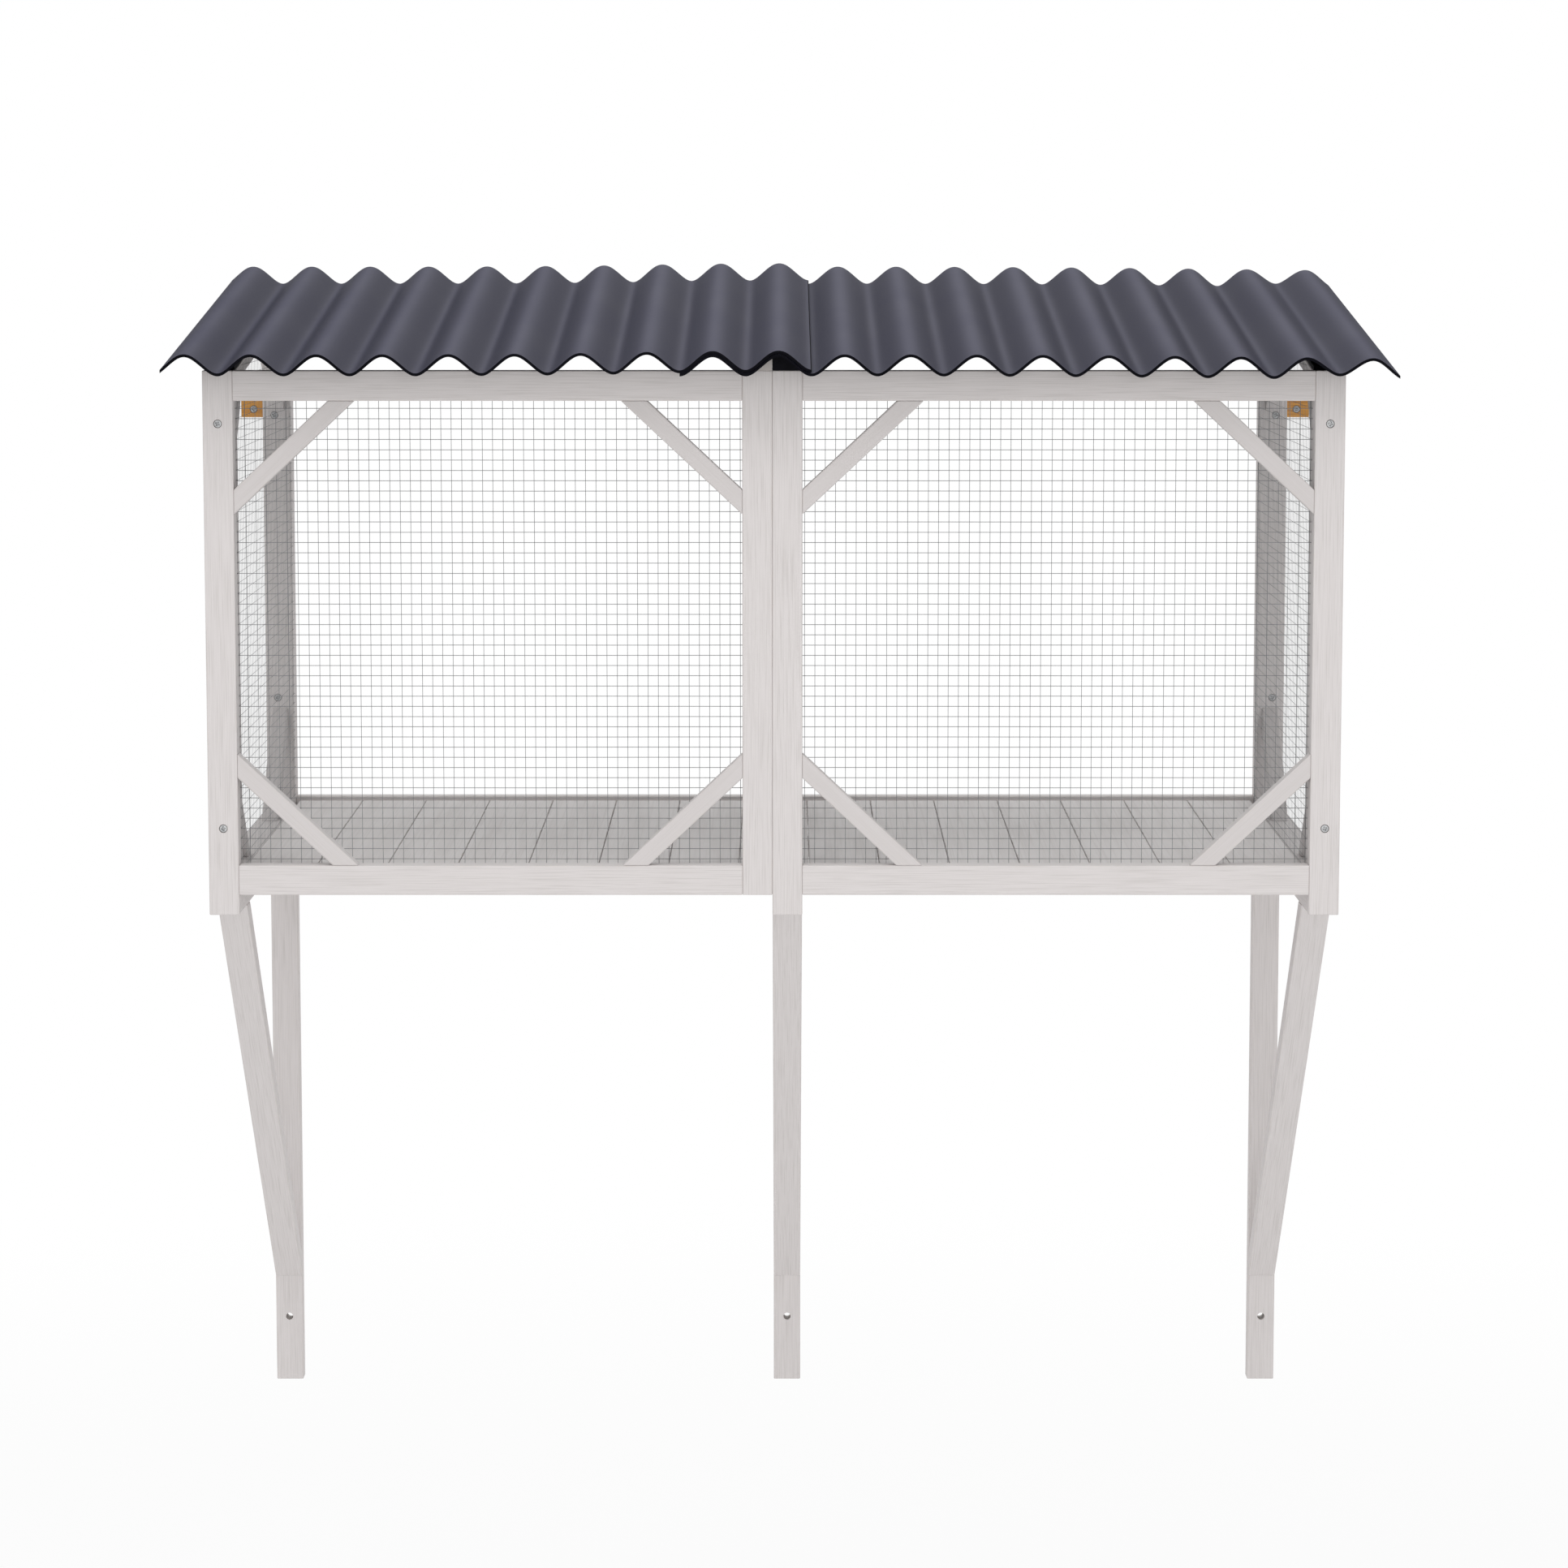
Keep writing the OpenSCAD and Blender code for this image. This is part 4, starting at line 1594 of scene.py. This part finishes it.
@dataclass
class WireNet:
    """Welded wire mesh: two families of straight wires that cross at right angles.

    Attributes:
        palette: The materials.
        roof: The pitch of the roof, which the side nets follow.
        pitch: Distance between two wires.
        radius: Radius of a level wire of the front nets.
        thin_radius: Radius of their upright wires.
        side_radius: Radius of a level wire of the side nets, which are finer.
        upright_radius: Radius of an upright wire of the side nets.
        weld: Distance from a wire's centre to the wires that it is welded to, in its radii.
        sway: How far a wire strays from its straight line.
        turns: Mean number of turns of its sine along a wire.
        turns_spread: How far the number of turns differs from wire to wire.
        turns_step: Angle from one wire's difference to the next one's.
        phase_step: Share of a turn from one wire's start to the next one's.
        sections: Sections along a wire.
        left_wire: Place of one upright wire of the left front net.
        right_wire: Place of one upright wire of the right front net.
        level_wire: Height of one level wire.
        first_upright: Distance from the front edge of a side net to its first upright wire.
        smooth_below: Angle in degrees under which a wire's edges are shaded smooth.
    """

    palette: Palette
    roof: RoofLine = RoofLine()
    pitch: float = 12.7 * MM
    radius: float = 0.42 * MM
    thin_radius: float = 0.32 * MM
    side_radius: float = 0.26 * MM
    upright_radius: float = 0.17 * MM
    weld: float = 0.8
    sway: float = 0.08 * MM
    turns: float = 1.3
    turns_spread: float = 0.37
    turns_step: float = 2.4
    phase_step: float = 0.618
    sections: int = 8
    left_wire: float = -41.6 * MM
    right_wire: float = 37.8 * MM
    level_wire: float = 638.8 * MM
    first_upright: float = 4 * MM
    smooth_below: float = 75

    def places(self, low: float, high: float, one: float) -> np.ndarray:
        """Lists the wires that lie between two edges.

        Args:
            low: Place of the lower edge.
            high: Place of the upper edge.
            one: Place of any one wire.

        Returns:
            The place of each wire, one pitch apart.
        """
        first = math.ceil((low + self.radius - one) / self.pitch)
        last = math.floor((high - self.radius - one) / self.pitch)
        return one + self.pitch * np.arange(first, last + 1)

    def wires(
        self, starts: np.ndarray, ends: np.ndarray, along: Along, sideways: Along, radius: float, phase: float
    ) -> Surface:
        """Builds a family of wires that stray from their lines along a slow sine.

        Args:
            starts: Where each wire starts, shape (wires, 3).
            ends: Where each wire ends.
            along: The axis of the wires.
            sideways: The axis along which they stray.
            radius: Radius of a wire.
            phase: Start of the sine, so that the families differ.

        Returns:
            The wires' surface.
        """
        t = np.linspace(0, 1, self.sections)
        number = np.arange(len(starts))
        turns = self.turns + self.turns_spread * np.sin(number * self.turns_step)
        bend = np.sin(2 * np.pi * (t * turns[:, None] + number[:, None] * self.phase_step + phase))
        lines = starts[:, None, :] + t[None, :, None] * (ends - starts)[:, None, :]
        return tubes(lines + self.sway * bend[..., None] * AXES[sideways.value], radius, along)

    def front(self, node: str, one: float) -> Surface:
        """Builds a front net.

        Args:
            node: The solid that it replaces.
            one: Place of one of its upright wires.

        Returns:
            The net's surface.
        """
        low, high = node_box(node)
        x = self.places(low[0], high[0], one)
        z = self.places(low[2], high[2], self.level_wire)
        level = np.stack([np.full_like(z, low[0]), np.full_like(z, low[1] + self.radius), z], -1)
        level_end = level + [high[0] - low[0], 0, 0]
        behind = low[1] + 2 * self.radius + self.weld * self.thin_radius
        upright = np.stack([x, np.full_like(x, behind), np.full_like(x, low[2])], -1)
        upright_end = upright + [0, 0, high[2] - low[2]]
        return Surface.joined(
            [
                self.wires(level, level_end, Along.X, Along.Z, self.radius, phase=0.0),
                self.wires(upright, upright_end, Along.Z, Along.X, self.thin_radius, phase=0.4),
            ]
        )

    def side(self, node: str) -> Surface:
        """Builds a side net, cut along the sloping rail.

        Args:
            node: The solid that it replaces.

        Returns:
            The net's surface.
        """
        low, high = node_box(node)
        slope = self.roof.slope
        y = self.places(low[1], high[1], low[1] + self.first_upright)
        z = self.places(low[2], high[2], self.level_wire)
        front_top = high[2] - slope * (high[1] - low[1])
        upright = np.stack([np.full_like(y, low[0] + self.upright_radius), y, np.full_like(y, low[2])], -1)
        upright_end = np.stack([upright[:, 0], y, front_top + slope * (y - low[1])], -1)
        start_y = np.clip(low[1] + (z - front_top) / slope, low[1], high[1] - self.pitch)
        beside = low[0] + 2 * self.upright_radius + self.weld * self.side_radius
        level = np.stack([np.full_like(z, beside), start_y, z], -1)
        level_end = np.stack([level[:, 0], np.full_like(z, high[1]), z], -1)
        return Surface.joined(
            [
                self.wires(level, level_end, Along.Y, Along.Z, self.side_radius, phase=0.2),
                self.wires(upright, upright_end, Along.Z, Along.Y, self.upright_radius, phase=0.7),
            ]
        )

    def build(self) -> None:
        """Builds the four nets."""
        nets = {
            "front_left_mesh": self.front("front_left_mesh", self.left_wire),
            "front_right_mesh": self.front("front_right_mesh", self.right_wire),
            "left_side_mesh": self.side("left_side_mesh"),
            "right_side_mesh": self.side("right_side_mesh"),
        }
        for node, net in nets.items():
            settle(net.to_object("wire_" + node, self.smooth_below), Coat.WIRE, node, self.palette.wire)


@dataclass
class Fixings:
    """The visible screws, with a cross recess in a slightly domed head, and the drilled holes.

    Attributes:
        palette: The materials.
        head: Radius of a head.
        rim: Depth at which the head starts to narrow.
        head_deep: Height of a head.
        shank: Radius of a shank.
        neck: Radius just under the head, in shanks.
        point: Length of the point.
        tip: Radius of its tip.
        slot: Half the width of a slot of the recess.
        span: Half the span of the recess.
        recess: Depth of the recess.
        dome: Height of the dome.
        chamfer: Further fall of the head's outermost tenth.
        cells: Cells across a head.
        first_turn: Angle of the first screw's cross, in radians.
        turn_step: Angle from one screw's cross to the next one's.
        smooth_below: Angle in degrees under which edges are shaded smooth.
    """

    palette: Palette
    head: float = 4.7 * MM
    rim: float = 1.2 * MM
    head_deep: float = 3 * MM
    shank: float = 2.2 * MM
    neck: float = 1.15
    point: float = 5 * MM
    tip: float = 0.3 * MM
    slot: float = 0.8 * MM
    span: float = 2.7 * MM
    recess: float = 2.3 * MM
    dome: float = 0.5 * MM
    chamfer: float = 0.35 * MM
    cells: int = 36
    first_turn: float = 0.2
    turn_step: float = 0.9
    smooth_below: float = 35

    @staticmethod
    def places(node: str, head: float = 5 * MM) -> list[Pair]:
        """Works out where the screws of one solid sit, from the corners of its box.

        Args:
            node: The solid with the screws, in one row or in two.
            head: Radius of a head of the solid.

        Returns:
            The x and z of each screw.
        """
        low, high = node_box(node)
        rows = (low[2] + head, high[2] - head)
        if high[2] - low[2] <= 3 * head:
            rows = ((low[2] + high[2]) / 2,)
        return [(float(x), float(z)) for x in (low[0] + head, high[0] - head) for z in rows]

    @staticmethod
    def inside(node: str, x: float, z: float) -> bool:
        """Says whether a point seen from the front lies in a solid's box."""
        low, high = node_box(node)
        return bool(low[0] < x < high[0] and low[2] < z < high[2])

    @staticmethod
    def seats(screws: str, node: str, radius: float = 5.3 * MM, deep: float = 3.3 * MM) -> list[Hole]:
        """Works out the seats of screw heads in a timber.

        Args:
            screws: The solid with the screws.
            node: The timber's solid.
            radius: Radius of a seat.
            deep: Depth of a seat.

        Returns:
            The seats as holes that start just in front of the timber.
        """
        y = node_box(node)[0][1]
        places = [place for place in Fixings.places(screws) if Fixings.inside(node, *place)]
        return [Hole(x, z, radius, y - MM, y + deep) for x, z in places]

    @staticmethod
    def bolts(node: str) -> list[Hole]:
        """Works out the wall-bolt holes through a timber, from the mounts.

        Args:
            node: The timber's solid.

        Returns:
            The holes, which start and end just outside the timber.
        """
        low, high = node_box(node)
        holes = []
        for mount in frame["record"]["mounts"]:
            if mount["kind"] != "bolt_pattern":
                continue
            sizes = mount["dims"]
            half_x, half_z = (sizes.get(name, 0.0) * MM / 2 for name in ("spacing_x_mm", "spacing_y_mm"))
            for x in sorted({mount["pos_m"][0] - half_x, mount["pos_m"][0] + half_x}):
                for z in (mount["pos_m"][2] - half_z, mount["pos_m"][2] + half_z):
                    if Fixings.inside(node, x, z):
                        holes.append(Hole(x, z, sizes["hole_r_mm"] * MM, low[1] - MM, high[1] + MM))
        return holes

    def screw(self, x: float, y: float, z: float, length: float, turned: float) -> Surface:
        """Builds one screw that points at the wall.

        The head is a square grid bent into a disc: u and v from -1 to 1 go to
        u * sqrt(1 - v * v / 2) and v * sqrt(1 - u * u / 2). Its face falls with the square of the
        radius, and the recess is a smooth step down inside the cross. Rings then follow the rim,
        the underside, the shank and the tip.

        Args:
            x: Place of the screw.
            y: Place of the head's rim.
            z: Height of the screw.
            length: Length of the screw.
            turned: Angle of the cross, in radians.

        Returns:
            The screw's surface.
        """
        steps = self.cells + 1
        u, v = np.meshgrid(np.linspace(-1, 1, steps), np.linspace(-1, 1, steps), indexing="ij")
        a, b = self.head * u * np.sqrt(1 - v * v / 2), self.head * v * np.sqrt(1 - u * u / 2)
        c, d = a * math.cos(turned) + b * math.sin(turned), b * math.cos(turned) - a * math.sin(turned)
        cell = 2 * self.head / self.cells
        near, far = np.minimum(abs(c), abs(d)), np.maximum(abs(c), abs(d))
        across = np.clip((self.slot - near) / cell + 0.5, 0, 1)
        inside = across * np.clip((self.span - far) / cell + 0.5, 0, 1)
        radius = np.hypot(a, b) / self.head
        outermost = np.clip((radius - 0.9) / 0.1, 0, 1)
        sunk = self.dome * radius**2 + self.recess * inside + self.chamfer * outermost**2
        face = np.stack([x + a, y + sunk, z + b], axis=-1)
        index = np.arange(steps * steps).reshape(steps, steps)
        rim = np.concatenate([index[:-1, 0], index[-1, :-1], index[:0:-1, -1], index[0, :0:-1]])
        turn = np.arctan2(b.ravel()[rim], a.ravel()[rim])
        radii = np.array([self.head, self.shank * self.neck, self.shank, self.shank, self.tip])[:, None]
        depths = np.array([self.rim, self.head_deep, self.head_deep + MM, length - self.point, length])
        deep = np.broadcast_to(y + depths[:, None], (len(radii), len(turn)))
        rings = np.stack([x + radii * np.cos(turn), deep, z + radii * np.sin(turn)], axis=-1)
        numbers = steps * steps + np.arange(len(radii) * len(rim)).reshape(-1, len(rim))
        layers = np.concatenate([rim[None], numbers])
        beside = np.roll(layers, -1, axis=1)
        skirt = np.stack([layers[:-1], layers[1:], beside[1:], beside[:-1]], -1).reshape(-1, 4)
        faces = grid_quads(steps, steps).tolist() + skirt.tolist() + [layers[-1][::-1].tolist()]
        return Surface(np.concatenate([face.reshape(-1, 3), rings.reshape(-1, 3)]), faces)

    def build(self) -> None:
        """Builds the screws of each solid, with their crosses turned by different angles."""
        for node in ("front_screws", "rear_screws", "cleat_screws"):
            low, high = node_box(node)
            length = float(high[1] - low[1])
            screws = [
                self.screw(x, low[1], z, length, self.turn_step * number + self.first_turn)
                for number, (x, z) in enumerate(self.places(node))
            ]
            piece = Surface.joined(screws).to_object("zinc_" + node, self.smooth_below)
            settle(piece, Coat.ZINC, node, self.palette.zinc)


@dataclass
class WallCleats:
    """The two natural wood cleats beside the wall posts.

    Attributes:
        palette: The materials.
        arris: Radius of their rounded edges.
    """

    palette: Palette
    arris: float = 1 * MM

    def build(self) -> None:
        """Builds both cleats with their grain along X and a seat for each screw."""
        for side in SIDES:
            node = f"{side.value}_wall_cleat"
            cleat = upright_plank(node_box(node), Along.X, Along.Z, self.arris)
            holes = Fixings.seats("cleat_screws", node)
            settle_timber(cleat, node, self.palette.cleat, holes=holes, coat=Coat.NATURAL)


# Studio


@dataclass
class Studio:
    """A plain pale floor, soft light and the camera.

    Attributes:
        floor_z: Height of the floor, well below the wall posts.
        floor_size: Side of the square floor.
        floor_points: Points along a side of it.
        floor_grey: Its plain colour.
        floor_glow: Share of white that it shows near the object, so that the shadow stays.
        shadow_reach: Distance from its middle at which the floor starts to turn white.
        sky: Light level of the surroundings.
        pitch: Angle by which the camera looks down, in degrees.
        lens: Focal length in millimetres.
        sensor: Width of the sensor in millimetres.
        camera_at: Place of the camera.
    """

    floor_z: float = -1.35
    floor_size: float = 60.0
    floor_points: int = 9
    floor_grey: float = 0.86
    floor_glow: float = 0.84
    shadow_reach: float = 2.2
    sky: float = 0.79
    pitch: float = 6.88
    lens: float = 109.03
    sensor: float = 36.0
    camera_at: Triple = (0.0123, -6.552, 0.8798)

    def floor(self) -> None:
        """Lays the floor: pale to every lamp, and nearly white to the camera and in reflections."""
        along = np.linspace(-self.floor_size / 2, self.floor_size / 2, self.floor_points)
        u, v = np.meshgrid(along, along, indexing="ij")
        points = np.stack([u, v, np.full_like(u, self.floor_z)], axis=-1).reshape(-1, 3)
        mesh = bpy.data.meshes.new("studio_floor")
        mesh.from_pydata(points.tolist(), [], grid_quads(self.floor_points, self.floor_points).tolist())
        material, graph, shader = start_material("studio_floor_pale", 0.9)
        graph.feed(shader, {"Base Color": (*[self.floor_grey] * 3, 1.0), "Specular IOR Level": 0.0})
        glow = graph.add("ShaderNodeEmission", {"Color": (1.0, 1.0, 1.0, 1.0), "Strength": 1.0})
        place = graph.add("ShaderNodeTexCoord").outputs["Object"]
        reach = graph.add("ShaderNodeVectorMath", {0: place}, operation="LENGTH").outputs["Value"]
        away = graph.spread(reach, self.shadow_reach, 2 * self.shadow_reach)
        white = graph.math("ADD", self.floor_glow, graph.math("MULTIPLY", away, 1 - self.floor_glow))
        share = graph.math("MULTIPLY", graph.seen(), white)
        blend = graph.add("ShaderNodeMixShader", {0: share, 1: shader.outputs[0], 2: glow.outputs[0]})
        output = next(node for node in graph.tree.nodes if node.type == "OUTPUT_MATERIAL")
        graph.feed(output, {"Surface": blend.outputs[0]})
        mesh.materials.append(material)
        ground = link_object("studio_floor", mesh)

    def surroundings(self) -> None:
        """Sets a world that is white to the camera and in reflections, and soft grey as light."""
        world = bpy.data.worlds.new("studio_world")
        bpy.context.scene.world = world
        world.use_nodes = True
        graph = Graph(world.node_tree)
        graph.tree.nodes.clear()
        level = graph.math("ADD", self.sky, graph.math("MULTIPLY", graph.seen(), 1.0 - self.sky))
        back = graph.add("ShaderNodeBackground", {"Color": (1.0, 1.0, 1.0, 1.0), "Strength": level})
        graph.add("ShaderNodeOutputWorld", {"Surface": back.outputs[0]})

    @staticmethod
    def lamp(name: str, at: Triple, aim: Triple, size: float, watts: float) -> None:
        """Adds a square soft lamp.

        Args:
            name: The lamp's name.
            at: Its place.
            aim: The point that it faces.
            size: Its side.
            watts: Its power.
        """
        light = bpy.data.lights.new(name, "AREA")
        light.size, light.energy = size, watts
        lamp = link_object(name, light)
        lamp.location = at
        x, y, z = np.array(aim) - np.array(at)
        lamp.rotation_euler = (math.atan2(math.hypot(x, y), -z), 0.0, math.atan2(-x, y))

    def camera(self) -> None:
        """Places the camera as the photograph has it."""
        lens = bpy.data.cameras.new("studio_camera")
        lens.lens, lens.sensor_width = self.lens, self.sensor
        camera = link_object("studio_camera", lens)
        camera.location = self.camera_at
        camera.rotation_euler = (math.radians(90 - self.pitch), 0.0, 0.0)
        bpy.context.scene.camera = camera

    def build(self) -> None:
        """Builds the whole studio."""
        bpy.context.scene.view_settings.view_transform = "Standard"
        self.floor()
        self.surroundings()
        self.lamp("key_lamp", at=(-0.8, -2.4, 4.4), aim=(0.0, -0.4, 0.1), size=2.4, watts=46.0)
        self.lamp("fill_lamp", at=(0.6, -6.2, 0.3), aim=(0.0, -0.4, 0.0), size=3.6, watts=63.0)
        self.lamp("back_lamp", at=(0.4, 4.4, 3.6), aim=(0.0, -0.4, 0.2), size=3.2, watts=50.0)
        self.camera()


def main() -> None:
    """Builds the enclosure's pieces and the studio."""
    logging.basicConfig(level=logging.INFO, format="%(message)s")
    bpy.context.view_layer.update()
    palette = Palette()
    assemblies = [
        FrontFrame(palette),
        *(SidePanel(side, palette) for side in SIDES),
        *(WallBracket(place, palette) for place in Place),
        BackAndFloor(palette),
        Roof(palette),
        WireNet(palette),
        Fixings(palette),
        WallCleats(palette),
    ]
    for assembly in assemblies:
        assembly.build()
        log.info("%s done", type(assembly).__name__)
    Studio().build()


if __name__ == "__main__":
    main()
